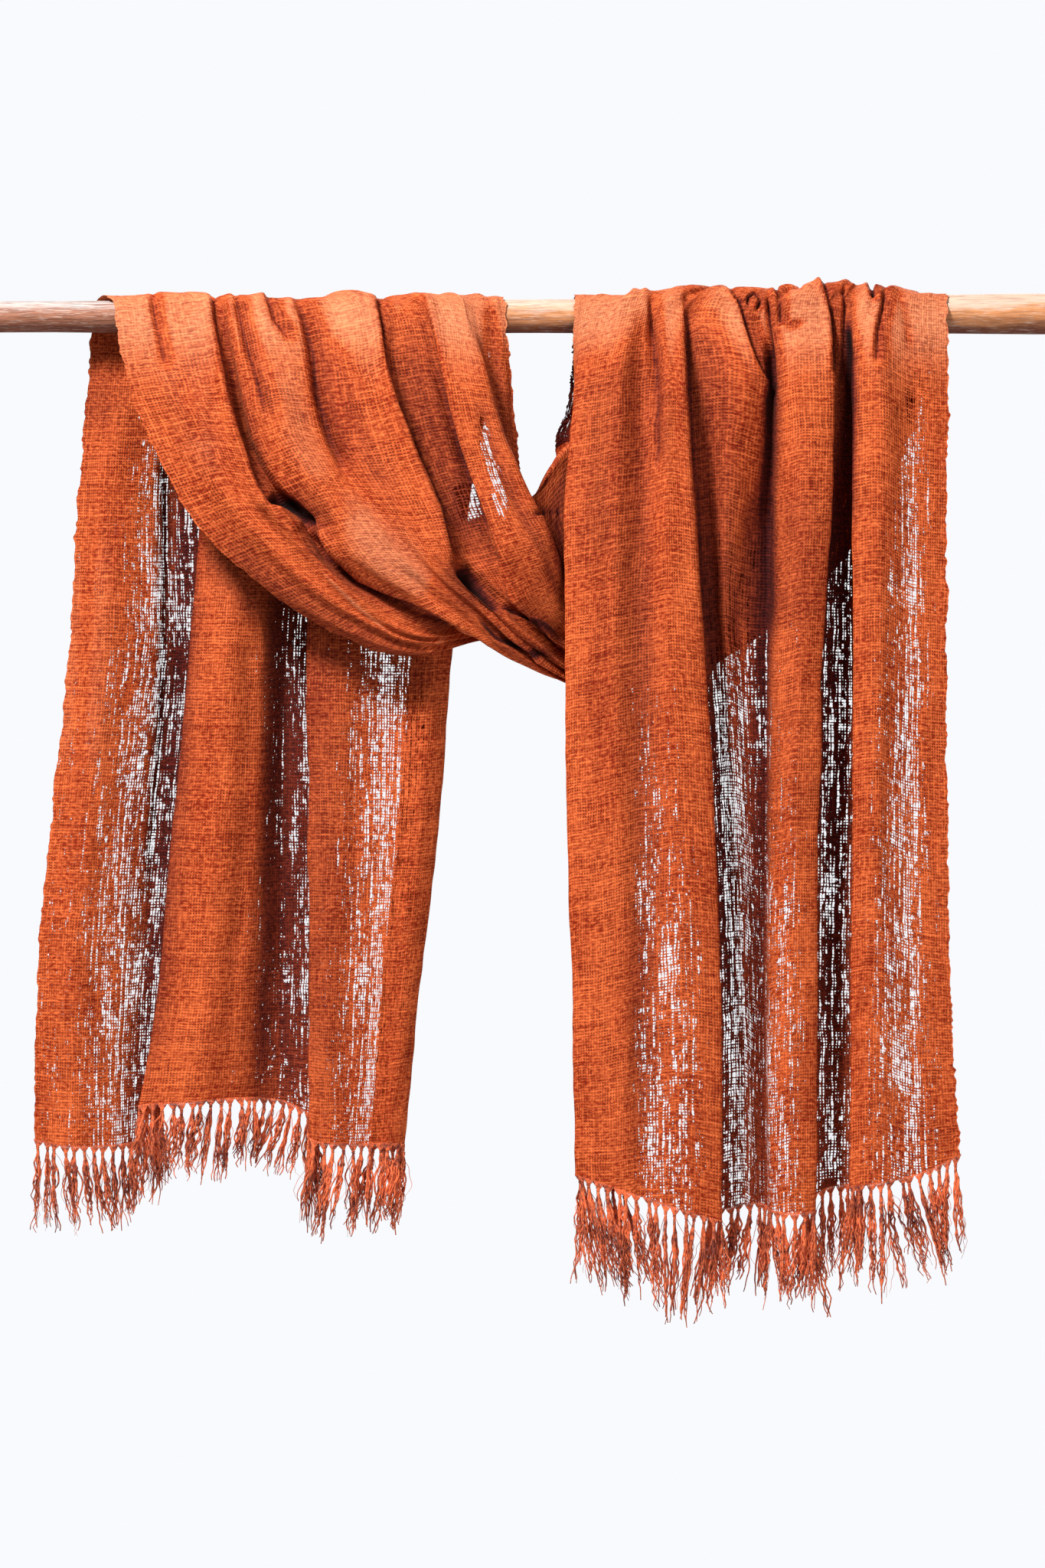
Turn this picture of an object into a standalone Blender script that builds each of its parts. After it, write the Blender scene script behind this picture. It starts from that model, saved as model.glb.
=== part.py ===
"""A long open-weave silk scarf with knotted fringes, hung over a plain wooden rod.

Metres, +Z up, the front is -Y and the rod's middle is the origin. One end of the scarf hangs behind the
rod, the cloth comes over it to the front, sweeps down and across in a deep swag, passes behind its other
end, rises behind the rod and comes over it again, so that the other end hangs in front.
The tables are in millimetres. A row follows one fold, ridge or edge of the cloth along its length.
"""

import math

import bmesh
import bpy
import numpy as np

MM = 0.001

# Rod: a slightly tapered, slightly bent stick.
ROD = (
    {"across": -450, "radius": 12.0, "height": -1.2},
    {"across": -250, "radius": 12.5, "height": -1.0},
    {"across": 40, "radius": 13.2, "height": -0.6},
    {"across": 330, "radius": 15.2, "height": 0.9},
    {"across": 450, "radius": 16.2, "height": 1.2},
)
ROD_SIDES = 28

# Cloth.
WALL = 1.1 * MM
SEAM = 0.3 * MM
# Places of each row over the rod, from behind it to just short of its front.
CROWN_PLACES = 6
# How finely the surfaces are drawn: the largest share of the width between points, and about how many
# millimetres between places along each stretch.
FINE_ACROSS = 0.025
CROWN_STEPS = 8
LEFT_STEP = 60
SWAG_STEP = 32
RIGHT_STEP = 50
LEFT_HEIGHTS = (0, -35, -137, -263, -401, -533)
RIGHT_HEIGHTS = (0, -35, -113, -233, -383, -533)

# Fringe: one lock for each knotted bundle of warp ends.
STRIP_HEIGHT = 2.0 * MM
LEFT_BUNDLES = 57
RIGHT_BUNDLES = 61
LOCK_WIDTH = 2.4 * MM
LOCK = (
    {"drop": 6.0, "width": 2.6, "depth": 2.2},
    {"drop": 9.5, "width": 1.3, "depth": 1.2},
    {"drop": 42.0, "width": 3.0, "depth": 2.0},
    {"drop": 74.0, "width": 1.2, "depth": 0.9},
)
LOCK_SWAY = 2.6 * MM
LOCK_SWING = 2.0 * MM
LOCK_UNEVEN = 0.07
# A corner of the hem counts as sharp past 60 degrees. The strip drops there, clear of the wall beside it.
SHARP = math.cos(math.radians(60))
SHARP_DROP = 0.9 * MM

# The swag's folds from the outer edge, which hangs lowest, to the inner edge. Columns are places along the
# cloth: on the rod's front, then down and across to where it goes behind the other end.
SWAG_PLACES = ("rod", "below_rod", "upper", "middle", "low", "turn", "narrow", "behind", "foot_of_rise")
SWAG_ACROSS = {
    "outer_edge":   (-317, -310, -288, -248, -168,  -85,  -26,   50,  106),
    "outer_band":   (-279, -269, -248, -220, -153,  -80,  -21,   50,  106),
    "outer_ridge":  (-239, -230, -215, -187, -134,  -75,  -18,   50,  106),
    "outer_valley": (-234, -226, -210, -180, -138,  -66,  -15,   50,  106),
    "belly_lip":    (-228, -220, -202, -167, -137,  -59,  -12,   50,  106),
    "belly_low":    (-201, -190, -172, -137, -105,  -46,   -9,   49,  106),
    "belly_crease": (-170, -162, -148, -117,  -81,  -35,   -1,   49,  104),
    "belly_high":   (-139, -131, -113,  -90,  -63,  -29,    4,   49,  104),
    "belly_ridge":  (-111, -104,  -83,  -62,  -48,  -20,    9,   49,  102),
    "gap_near":     (-105,  -98,  -79,  -57,  -44,  -16,   10,   49,  101),
    "gap_floor":    ( -91,  -82,  -63,  -47,  -30,   -6,   12,   50,  100),
    "gap_far":      ( -80,  -69,  -49,  -32,  -16,    2,   15,   49,   98),
    "cross_ridge":  ( -75,  -66,  -49,  -33,  -19,   -1,   14,   49,   96),
    "cross_band":   ( -49,  -42,  -25,  -12,    6,   20,   27,   49,   87),
    "cross_edge":   ( -42,  -28,   -8,    7,   21,   30,   35,   51,   78),
    "cross_under":  ( -36,  -29,  -17,   -6,    3,   12,   21,   42,   71),
    "inner_band":   ( -24,  -19,  -12,   -9,   -5,    1,   12,   39,   62),
    "inner_edge":   ( -13,   -9,   -3,    0,    5,   14,   24,   27,   27),
}
SWAG_HEIGHT = {
    "outer_edge":   (  -2,  -43, -102, -171, -238, -270, -254, -273, -290),
    "outer_band":   (  -2,  -44,  -96, -151, -220, -256, -247, -266, -282),
    "outer_ridge":  (  -2,  -44, -109, -161, -214, -248, -240, -260, -273),
    "outer_valley": (  -2,  -43, -106, -155, -201, -239, -235, -255, -267),
    "belly_lip":    (  -2,  -44, -109, -159, -195, -245, -265, -283, -277),
    "belly_low":    (  -3,  -45, -105, -155, -197, -239, -268, -289, -281),
    "belly_crease": (  -2,  -43, -109, -154, -197, -235, -264, -287, -279),
    "belly_high":   (  -3,  -44, -112, -157, -200, -230, -259, -285, -275),
    "belly_ridge":  (  -2,  -44, -116, -164, -204, -233, -254, -279, -268),
    "gap_near":     (  -2,  -43, -113, -161, -198, -227, -251, -276, -263),
    "gap_floor":    (  -2,  -43, -110, -156, -196, -227, -248, -273, -257),
    "gap_far":      (  -2,  -43, -109, -153, -191, -226, -244, -270, -252),
    "cross_ridge":  (  -3,  -44, -114, -157, -198, -232, -248, -267, -247),
    "cross_band":   (  -3,  -45, -110, -148, -183, -212, -232, -245, -218),
    "cross_edge":   (  -3,  -44, -110, -143, -170, -190, -205, -216, -194),
    "cross_under":  (  -2,  -44, -108, -148, -173, -181, -171, -155, -142),
    "inner_band":   (  -2,  -43, -109, -136, -147, -146, -135, -100,  -72),
    "inner_edge":   (  -2,  -43, -114, -142, -163, -167, -146, -114,  -94),
}
SWAG_DEPTH = {
    "outer_edge":   ( -16,  -17,  -18,  -19,  -20,  -14,    3,   24,   31),
    "outer_band":   ( -19,  -28,  -34,  -36,  -36,  -22,    0,   21,   28),
    "outer_ridge":  ( -20,  -31,  -37,  -39,  -35,  -23,   -4,   17,   24),
    "outer_valley": ( -16,  -20,  -21,  -21,  -23,  -22,  -13,   12,   19),
    "belly_lip":    ( -18,  -29,  -34,  -36,  -37,  -33,  -21,    5,   14),
    "belly_low":    ( -21,  -35,  -43,  -46,  -48,  -40,  -27,    0,    9),
    "belly_crease": ( -17,  -24,  -31,  -42,  -47,  -38,  -26,   -4,    5),
    "belly_high":   ( -21,  -34,  -42,  -47,  -50,  -42,  -31,   -7,    1),
    "belly_ridge":  ( -20,  -34,  -41,  -45,  -46,  -39,  -30,   -8,   -2),
    "gap_near":     ( -16,  -22,  -26,  -26,  -26,  -27,  -21,   -2,    4),
    "gap_floor":    ( -16,  -20,  -23,  -24,  -24,  -23,  -16,    3,    9),
    "gap_far":      ( -16,  -21,  -24,  -26,  -28,  -27,  -21,   -2,    5),
    "cross_ridge":  ( -21,  -34,  -40,  -44,  -46,  -39,  -31,   -9,   -1),
    "cross_band":   ( -22,  -38,  -46,  -50,  -52,  -41,  -29,   -8,    1),
    "cross_edge":   ( -21,  -34,  -39,  -41,  -41,  -31,  -20,   -3,    5),
    "cross_under":  ( -17,  -25,  -28,  -28,  -24,  -16,   -8,    2,   10),
    "inner_band":   ( -17,  -20,  -20,  -17,  -13,   -7,   -1,    7,   15),
    "inner_edge":   ( -16,  -17,  -14,   -4,    8,   15,   17,   18,   18),
}
# How far the cloth stands off the top of the rod at the left, and where each fold ends behind the rod
# at the right.
# Columns: stand-off on top of the rod, across at the end, depth at the end.
SWAG_ENDS = {
    "outer_edge":   ( 3.6,  332,   18),
    "outer_band":   (   5,  314,   20),
    "outer_ridge":  (   6,  297,   19),
    "outer_valley": ( 1.2,  289,   18),
    "belly_lip":    ( 4.5,  282,   20),
    "belly_low":    (   5,  267,   21),
    "belly_crease": ( 1.2,  251,   19),
    "belly_high":   ( 2.2,  234,   21),
    "belly_ridge":  ( 7.5,  216,   20),
    "gap_near":     ( 1.2,  207, 18.5),
    "gap_floor":    ( 1.2,  196,   18),
    "gap_far":      ( 1.2,  186,   18),
    "cross_ridge":  ( 3.8,  177,   20),
    "cross_band":   ( 4.2,  153,   20),
    "cross_edge":   ( 3.8,  125,   19),
    "cross_under":  ( 3.4,  104,   18),
    "inner_band":   ( 3.2,   80,   18),
    "inner_edge":   (   3,   41,   17),
}
# The rise behind the rod bows out to the right at these parts of its height.
RISE_TURNS = (0.35, 0.68)
RISE_BOW = 0.72

# The end behind the rod, from its outer edge. Columns are the places of LEFT_HEIGHTS, the hem, and then
# the height of the hem.
LEFT_ACROSS = {
    "outer_edge":  (-339, -341, -350, -358, -373, -384, -385, -649),
    "panel_1":     (-318, -320, -327, -333, -346, -357, -359, -653),
    "slope_1":     (-284, -286, -294, -297, -314, -323, -326, -654),
    "valley_1":    (-263, -266, -274, -273, -284, -296, -302, -651),
    "under_1":     (-251, -251, -247, -252, -266, -279, -286, -638),
    "edge_2":      (-240, -245, -252, -263, -276, -289, -303, -622),
    "panel_2":     (-217, -220, -224, -233, -242, -251, -260, -618),
    "slope_2":     (-191, -193, -201, -208, -214, -222, -228, -616),
    "valley_2":    (-168, -171, -180, -187, -189, -190, -193, -619),
    "under_2":     (-154, -151, -157, -161, -162, -163, -164, -636),
    "edge_3":      (-143, -149, -162, -170, -169, -169, -169, -646),
    "panel_3":     (-120, -126, -139, -146, -149, -152, -153, -651),
    "dip_3":       ( -84,  -90, -101, -107, -110, -116, -125, -652),
    "crest_3":     ( -57,  -52,  -63,  -73,  -82,  -96, -105, -651),
    "turn_edge":   ( -39,  -29,  -41,  -56,  -66,  -81,  -93, -653),
    "turned_back": ( -29,  -26,  -51,  -68,  -81,  -96, -106, -655),
    "inner_edge":  ( -20,  -31,  -67,  -87,  -99, -112, -121, -654),
}
LEFT_DEPTH = {
    "outer_edge":  (  15,   16,   19,   22,   23,   24,   24),
    "panel_1":     (  16,   16,   15,   14,   14,   15,   16),
    "slope_1":     (15.5,   18,   26,   30,   30,   30,   30),
    "valley_1":    (  17,   24,   40,   48,   48,   46,   44),
    "under_1":     (  17,   22,   38,   44,   44,   42,   40),
    "edge_2":      (15.5,   17,   20,   22,   21,   20,   19),
    "panel_2":     (16.5,   15,   12,   11,   11,   11,   11),
    "slope_2":     (  16,   18,   20,   22,   22,   22,   22),
    "valley_2":    (17.5,   24,   40,   47,   47,   46,   44),
    "under_2":     (  17,   22,   38,   44,   44,   42,   40),
    "edge_3":      (15.8,   17,   20,   22,   21,   21,   20),
    "panel_3":     (16.5,   15,   13,   13,   13,   14,   14),
    "dip_3":       (  16,   18,   20,   22,   22,   22,   22),
    "crest_3":     (16.5,   16,   15,   15,   15,   15,   15),
    "turn_edge":   (16.5, 18.5,   24,   27,   27,   26,   25),
    "turned_back": (  17,   23,   37,   41,   41,   40,   38),
    "inner_edge":  (17.5,   28,   41,   46,   45,   44,   42),
}

# The end in front of the rod, from its inner edge. Columns are the places of RIGHT_HEIGHTS, the hem, the
# height of the hem, and how far the cloth stands off the top of the rod.
RIGHT_ACROSS = {
    "inner_edge":  (  41,   40,   56,   77,   87,   87,   83, -684,  3.6),
    "turned_back": (  44,   41,   44,   56,   62,   63,   62, -678,  3.4),
    "turn_edge":   (  49,   44,   35,   33,   35,   38,   40, -671,  3.2),
    "panel_1":     (  64,   58,   53,   51,   53,   57,   59, -676,  2.8),
    "crest_1":     (  85,   77,   73,   69,   73,   78,   79, -683,    4),
    "valley_1":    ( 101,   99,   97,   92,   93,   94,   96, -688,  8.5),
    "pleat_2":     ( 111,  112,  113,  114,  119,  124,  124, -697,    8),
    "edge_2":      ( 125,  128,  132,  139,  148,  154,  154, -706,  2.6),
    "under_2":     ( 129,  128,  129,  132,  138,  144,  144, -702,    5),
    "side_3":      ( 135,  138,  143,  149,  156,  162,  162, -698,    8),
    "panel_3":     ( 156,  161,  159,  158,  167,  173,  174, -695,    8),
    "edge_3":      ( 180,  187,  183,  174,  179,  183,  184, -695,  4.5),
    "under_3":     ( 188,  192,  193,  191,  190,  189,  190, -697,    7),
    "edge_4":      ( 193,  195,  198,  198,  194,  191,  192, -699,  1.2),
    "pleat_4":     ( 216,  215,  217,  215,  211,  209,  209, -700,    9),
    "edge_5":      ( 237,  240,  241,  234,  230,  229,  228, -699, 11.5),
    "under_5":     ( 241,  240,  237,  227,  223,  220,  220, -695,    8),
    "gap_5":       ( 248,  248,  250,  247,  245,  243,  243, -682,  5.5),
    "under_6":     ( 255,  258,  266,  267,  267,  266,  265, -680,    5),
    "edge_6":      ( 260,  257,  256,  256,  256,  255,  254, -680,    5),
    "pleat_6":     ( 278,  277,  277,  277,  275,  274,  274, -677,    8),
    "panel_6":     ( 304,  304,  303,  303,  302,  303,  306, -671,  1.2),
    "outer_edge":  ( 331,  331,  330,  329,  330,  333,  340, -656,  1.2),
}
RIGHT_DEPTH = {
    "inner_edge":  ( -17,  -18,  -20,  -26,  -23,  -20,  -18),
    "turned_back": ( -18,  -21,  -23,  -29,  -26,  -23,  -21),
    "turn_edge":   (-18.5,  -25,  -31,  -37,  -34,  -31,  -30),
    "panel_1":     ( -19,  -32,  -40,  -45,  -43,  -40,  -38),
    "crest_1":     ( -22,  -34,  -43,  -47,  -45,  -42,  -40),
    "valley_1":    (-17.5,  -22,  -31,  -41,  -41,  -39,  -37),
    "pleat_2":     ( -21,  -35,  -43,  -47,  -47,  -45,  -43),
    "edge_2":      ( -21,  -34,  -39,  -40,  -39,  -38,  -36),
    "under_2":     (-17.5,  -24,  -25,  -25,  -24,  -23,  -22),
    "side_3":      ( -18,  -24,  -19,  -14,  -10,  -10,  -12),
    "panel_3":     ( -22,  -35,  -33,  -23,  -14,  -12,  -14),
    "edge_3":      ( -20,  -29,  -25,  -14,   -9,   -8,  -10),
    "under_3":     (-17.8,  -21,  -14,   -8,   -7,   -7,   -9),
    "edge_4":      ( -19,  -27,  -28,  -28,  -26,  -25,  -25),
    "pleat_4":     ( -23,  -38,  -44,  -44,  -42,  -40,  -39),
    "edge_5":      ( -22,  -33,  -37,  -37,  -35,  -33,  -32),
    "under_5":     (-18.3,  -22,  -21,  -20,  -19,  -18,  -18),
    "gap_5":       (-17.8,  -17,   -9,   -5,   -4,   -5,   -6),
    "under_6":     (-18.5,  -20,  -18,  -17,  -17,  -17,  -17),
    "edge_6":      ( -21,  -28,  -31,  -31,  -31,  -30,  -29),
    "pleat_6":     ( -23,  -35,  -39,  -39,  -38,  -37,  -36),
    "panel_6":     ( -20,  -26,  -28,  -29,  -29,  -29,  -29),
    "outer_edge":  (-18.5,  -23,  -26,  -27,  -27,  -27,  -27),
}

COLOURS = {
    "rod": (0.50, 0.34, 0.21),
    "cloth": (0.62, 0.17, 0.045),
    "fringe": (0.52, 0.12, 0.03),
}


def rows(table):
    return np.array(list(table.values()), float)


def rod_at(across):
    """The rod's radius and height there, in millimetres."""
    along = [place["across"] for place in ROD]
    radius = [place["radius"] for place in ROD]
    height = [place["height"] for place in ROD]
    return np.interp(across, along, radius), np.interp(across, along, height)


def hermite(knots, values, slopes, at):
    """The smooth line through values at knots, read at places along it."""
    span = np.clip(np.searchsorted(knots, at) - 1, 0, len(knots) - 2)
    width = (knots[span + 1] - knots[span])[:, None]
    t = (at - knots[span])[:, None] / width
    start = values[span] * (1 + 2 * t) * (1 - t) ** 2 + slopes[span] * width * t * (1 - t) ** 2
    end = values[span + 1] * t * t * (3 - 2 * t) + slopes[span + 1] * width * t * t * (t - 1)
    return start + end


def rounded(knots, values, at):
    """Never overshoots, so that a ridge or an edge of the cloth stays where its row is."""
    h = np.diff(knots)[:, None]
    d = np.diff(values, axis=0) / h
    slopes = np.zeros_like(values)
    a, b = 2 * h[1:] + h[:-1], h[1:] + 2 * h[:-1]
    same = d[:-1] * d[1:] > 0
    left = np.where(same, d[:-1], 1)
    right = np.where(same, d[1:], 1)
    slopes[1:-1] = np.where(same, (a + b) / (a / left + b / right), 0)
    slopes[0], slopes[-1] = d[0], d[-1]
    return hermite(knots, values, slopes, at)


def flowing(knots, values, at):
    """A fold's own line along the cloth."""
    h = np.diff(knots)[:, None]
    d = np.diff(values, axis=0) / h
    slopes = np.zeros_like(values)
    slopes[1:-1] = (d[:-1] * h[1:] + d[1:] * h[:-1]) / (h[1:] + h[:-1])
    slopes[0], slopes[-1] = d[0], d[-1]
    return hermite(knots, values, slopes, at)


def lengths(line):
    steps = np.linalg.norm(np.diff(line, axis=0), axis=1)
    return np.concatenate(([0], np.cumsum(steps)))


def share(*lines):
    """Where each row lies across the cloth, from 0 to 1, as the mean over these lines."""
    found = [lengths(line) / lengths(line)[-1] for line in lines]
    return sum(found) / len(found)


def over_rod(back, front, top):
    """The places of each row from behind the rod to just short of its front, at even angles."""
    places = []
    for step in range(CROWN_PLACES):
        turn = step / CROWN_PLACES
        ease = turn * turn * (3 - 2 * turn)
        across = back[:, 0] * (1 - ease) + front[:, 0] * ease
        radius, height = rod_at(across)
        near = np.abs(back[:, 1]) if turn < 0.5 else np.abs(front[:, 1])
        side = near - radius
        stand = top + (side - top) * math.cos(math.pi * turn) ** 2
        angle = math.pi * turn
        places.append(
            np.stack(
                (across, (radius + stand) * math.cos(angle), height + (radius + stand) * math.sin(angle)), -1
            )
        )
    return np.stack(places, 1)


def tail_places(across, depth, heights):
    """(row, place, xyz) of a hanging end, from the rod to the hem, whose height is the last column."""
    x = across[:, :-1]
    z = np.repeat(np.array([heights], float), len(x), 0)
    z = np.concatenate((z, across[:, -1:]), 1)
    z[:, 0] = rod_at(x[:, 0])[1]
    return np.stack((x, depth, z), -1)


def cloth_places():
    """The three stretches of the cloth, each as (row, place, xyz) with where its rows lie across it."""
    swag = np.stack((rows(SWAG_ACROSS), rows(SWAG_DEPTH), rows(SWAG_HEIGHT)), -1)
    stand_off, end_across, end_depth = rows(SWAG_ENDS).T
    swag[:, 0, 2] = rod_at(swag[:, 0, 0])[1]
    finish = np.stack((end_across, end_depth, rod_at(end_across)[1]), -1)
    left = tail_places(rows(LEFT_ACROSS), rows(LEFT_DEPTH), LEFT_HEIGHTS)
    right_across, right_top = rows(RIGHT_ACROSS)[:, :-1], rows(RIGHT_ACROSS)[:, -1]
    right = tail_places(right_across, rows(RIGHT_DEPTH), RIGHT_HEIGHTS)
    swag_share = share(swag[:, 0], swag[:, 2], finish)
    left_share = share(left[:, 3], left[:, 4])
    right_share = share(right[:, 0], right[:, 3])

    start = rounded(left_share, left[:, 0], swag_share)
    crown = over_rod(start, swag[:, 0], stand_off)
    foot = swag[:, -1]
    rise = []
    for turn in RISE_TURNS:
        angle = turn * math.pi / 2
        straight = foot + (finish - foot) * turn
        bowed = foot + (finish - foot) * np.array((math.sin(angle), turn, 1 - math.cos(angle)))
        rise.append(straight + (bowed - straight) * RISE_BOW)
    swag = np.concatenate((crown, swag, np.stack(rise, 1), finish[:, None]), 1)

    behind = rounded(swag_share, finish, (1 - right_share)[::-1])[::-1]
    crown = over_rod(behind, right[:, 0], right_top)
    right = np.concatenate((crown, right), 1)
    return {
        "left": (left, left_share),
        "swag": (swag, swag_share),
        "right": (right, right_share),
    }


def places_along(places):
    """How far along the cloth each column lies, as the mean of its rows."""
    steps = np.linalg.norm(np.diff(places, axis=1), axis=2).mean(axis=0)
    return np.concatenate(([0], np.cumsum(steps)))


def surface(places, across, u, v):
    """Points of the cloth at u across it, from 0 to 1, and v millimetres along it, in metres."""
    knots = places_along(places)
    lines = np.stack([flowing(knots, row, v) for row in places], 0)
    columns = [rounded(across, lines[:, i], u) for i in range(len(v))]
    return np.stack(columns, 1) * MM


def fine(knots, step, most):
    """The knots with places between them, about a step apart and at most so many to a knot."""
    found = [knots[0]]
    for a, b in zip(knots[:-1], knots[1:]):
        steps = min(max(round((b - a) / step), 1), most)
        found += [a + (b - a) * (i + 1) / steps for i in range(steps)]
    return np.array(found)


def drawn_in(points, first, last):
    """A seam's width shorter at the ends asked for."""
    if first:
        step = points[:, 1] - points[:, 0]
        points[:, 0] += step / np.linalg.norm(step, axis=1)[:, None] * SEAM
    if last:
        step = points[:, -2] - points[:, -1]
        points[:, -1] += step / np.linalg.norm(step, axis=1)[:, None] * SEAM
    return points


def along_crown(knots):
    """Knots for a stretch that comes over the rod, with even steps over it."""
    over = np.linspace(knots[0], knots[CROWN_PLACES], CROWN_STEPS + 1)
    return np.array((*over, *knots[CROWN_PLACES + 1 :]))


def collection(name):
    made = bpy.data.collections.new(name)
    bpy.context.scene.collection.children.link(made)
    return made


def material(name, colour, roughness):
    made = bpy.data.materials.new(name)
    made.use_nodes = True
    shader = made.node_tree.nodes["Principled BSDF"]
    shader.inputs["Base Color"].default_value = (*colour, 1)
    shader.inputs["Roughness"].default_value = roughness
    return made


def wall(name, points, colour, group):
    """The open surface through these points, made a wall of the cloth's thickness. It is cut into triangles
    first, so that both sides of a twisted wall bend along the same lines."""
    count, steps = points.shape[:2]
    mesh = bpy.data.meshes.new(name)
    corner = lambda i, j: i * steps + j
    faces = [
        (corner(i, j), corner(i, j + 1), corner(i + 1, j + 1), corner(i + 1, j))
        for i in range(count - 1)
        for j in range(steps - 1)
    ]
    mesh.from_pydata([tuple(p) for p in points.reshape(-1, 3)], [], faces)
    grid = bmesh.new()
    grid.from_mesh(mesh)
    bmesh.ops.triangulate(grid, faces=grid.faces, quad_method="SHORT_EDGE")
    grid.to_mesh(mesh)
    grid.free()
    obj = bpy.data.objects.new(name, mesh)
    group.objects.link(obj)
    thick = obj.modifiers.new("wall", "SOLIDIFY")
    thick.thickness = WALL
    thick.offset = 0
    thick.use_rim = True
    obj.data.materials.append(material(name, colour, 0.75))
    return obj


def rod(group):
    curve = bpy.data.curves.new("rod", "CURVE")
    curve.dimensions = "3D"
    line = curve.splines.new("POLY")
    line.points.add(len(ROD) - 1)
    for point, place in zip(line.points, ROD):
        point.co = (place["across"] * MM, 0, place["height"] * MM, 1)
        point.radius = place["radius"] * MM
    curve.bevel_depth = 1.0
    curve.bevel_resolution = ROD_SIDES // 4 - 1
    curve.use_fill_caps = True
    obj = bpy.data.objects.new("rod", curve)
    group.objects.link(obj)
    curve.materials.append(material("rod", COLOURS["rod"], 0.6))
    return obj


def fringe(name, hem, bundles, group):
    """A narrow strip a seam below the hem, with a lock hanging from it at each bundle."""
    along = lengths(hem)
    pitch = along[-1] / bundles
    roots = []
    for i in range(bundles):
        start = (i + 0.5) * pitch - LOCK_WIDTH / 2
        for bend in along[(along > start - 1 * MM) & (along < start + LOCK_WIDTH + 1 * MM)]:
            start = bend if bend - start < LOCK_WIDTH / 2 else bend - LOCK_WIDTH
        roots.append(round(start, 7))
    cuts = np.unique(np.round([*along, *roots, *[start + LOCK_WIDTH for start in roots]], 7))
    line = np.stack([np.interp(cuts, along, hem[:, axis]) for axis in range(3)], -1)
    step = np.diff(line, axis=0)
    step /= np.linalg.norm(step, axis=1)[:, None]
    way = np.concatenate((step[:1], step[:-1] + step[1:], step[-1:]))
    way = way[:, :2] / np.linalg.norm(way[:, :2], axis=1)[:, None]
    slope = 1 / np.linalg.norm(step[:, :2], axis=1) ** 2
    gap = SEAM * np.maximum((slope[0], *slope), (*slope, slope[-1]))
    turn = (step[:-1, :2] * step[1:, :2]).sum(axis=1)
    gap[1:-1] += np.where(turn < SHARP, SHARP_DROP, 0)
    side = np.stack((-way[:, 1], way[:, 0], np.zeros(len(way))), -1) * WALL / 2
    mesh = bmesh.new()
    down = np.array((0, 0, 1))
    rings = []
    for point, out, clear in zip(line, side, gap):
        top = point - down * clear
        low = top - down * STRIP_HEIGHT
        rings.append([mesh.verts.new(p) for p in (top + out, low + out, low - out, top - out)])
    mesh.faces.new(rings[0])
    mesh.faces.new(rings[-1][::-1])
    for i, (a, b) in enumerate(zip(rings[:-1], rings[1:])):
        for k in (0, 2, 3):
            mesh.faces.new((a[k], b[k], b[(k + 1) % 4], a[(k + 1) % 4]))
        if cuts[i] in roots:
            lock(mesh, roots.index(cuts[i]), a[1], b[1], b[2], a[2])
        else:
            mesh.faces.new((a[1], b[1], b[2], a[2]))
    bmesh.ops.recalc_face_normals(mesh, faces=mesh.faces)
    data = bpy.data.meshes.new(name)
    mesh.to_mesh(data)
    mesh.free()
    obj = bpy.data.objects.new(name, data)
    group.objects.link(obj)
    data.materials.append(material(name, COLOURS["fringe"], 0.8))
    return obj


def lock(mesh, number, *root):
    """A knotted lock, drawn out downwards from four corners of the strip."""
    corners = np.array([v.co for v in root])
    middle = corners.mean(axis=0)
    along = corners[1] - corners[0]
    along[2] = 0
    along /= np.linalg.norm(along)
    out = np.array((-along[1], along[0], 0))
    if (corners[3] - corners[0]) @ out < 0:
        out = -out
    longer = 1 + LOCK_UNEVEN * math.sin(number * 2.4)
    before = list(root)
    for place in LOCK:
        drop = place["drop"] * longer * MM
        swing = (place["drop"] / LOCK[-1]["drop"]) ** 1.5
        sway = LOCK_SWAY * swing * math.sin(number * 0.5)
        centre = middle + np.array((sway, LOCK_SWING * swing * math.cos(number * 0.4), -drop))
        wide = along * place["width"] * MM / 2
        deep = out * place["depth"] * MM / 2
        ends = ((-1, -1), (1, -1), (1, 1), (-1, 1))
        ring = [mesh.verts.new(centre + wide * a + deep * b) for a, b in ends]
        for k in range(4):
            mesh.faces.new((before[k], before[(k + 1) % 4], ring[(k + 1) % 4], ring[k]))
        before = ring
    mesh.faces.new(before)


def build():
    for obj in list(bpy.data.objects):
        bpy.data.objects.remove(obj)
    group = collection("silk_scarf")
    rod(group)
    stretches = cloth_places()
    colour = COLOURS["cloth"]

    places, across = stretches["left"]
    knots = places_along(places)
    v = fine(np.sort([*knots, knots[1] / 2]), LEFT_STEP, 2)
    left = surface(places, across, fine(across, FINE_ACROSS, 3), v)
    left = drawn_in(left, True, False)
    wall("tail_behind", left, colour, group)

    places, across = stretches["swag"]
    knots = places_along(places)
    hidden = SWAG_PLACES.index("behind") + CROWN_PLACES
    middle = (knots[hidden] + knots[hidden + 1]) / 2
    v = fine(along_crown(np.sort([*knots, middle])), SWAG_STEP, 3)
    u = fine(across, FINE_ACROSS, 3)
    first = surface(places, across, u, v[v < middle + 0.001])
    second = surface(places, across, u, v[v > middle - 0.001])
    wall("swag", drawn_in(first, False, True), colour, group)
    wall("rise", drawn_in(second, True, True), colour, group)

    places, across = stretches["right"]
    knots = places_along(places)
    v = fine(along_crown(knots), RIGHT_STEP, 2)
    right = surface(places, across, fine(across, FINE_ACROSS, 3), v)
    wall("tail_front", right, colour, group)

    fringe("fringe_behind", left[:, -1], LEFT_BUNDLES, group)
    fringe("fringe_front", right[:, -1], RIGHT_BUNDLES, group)


build()
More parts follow.
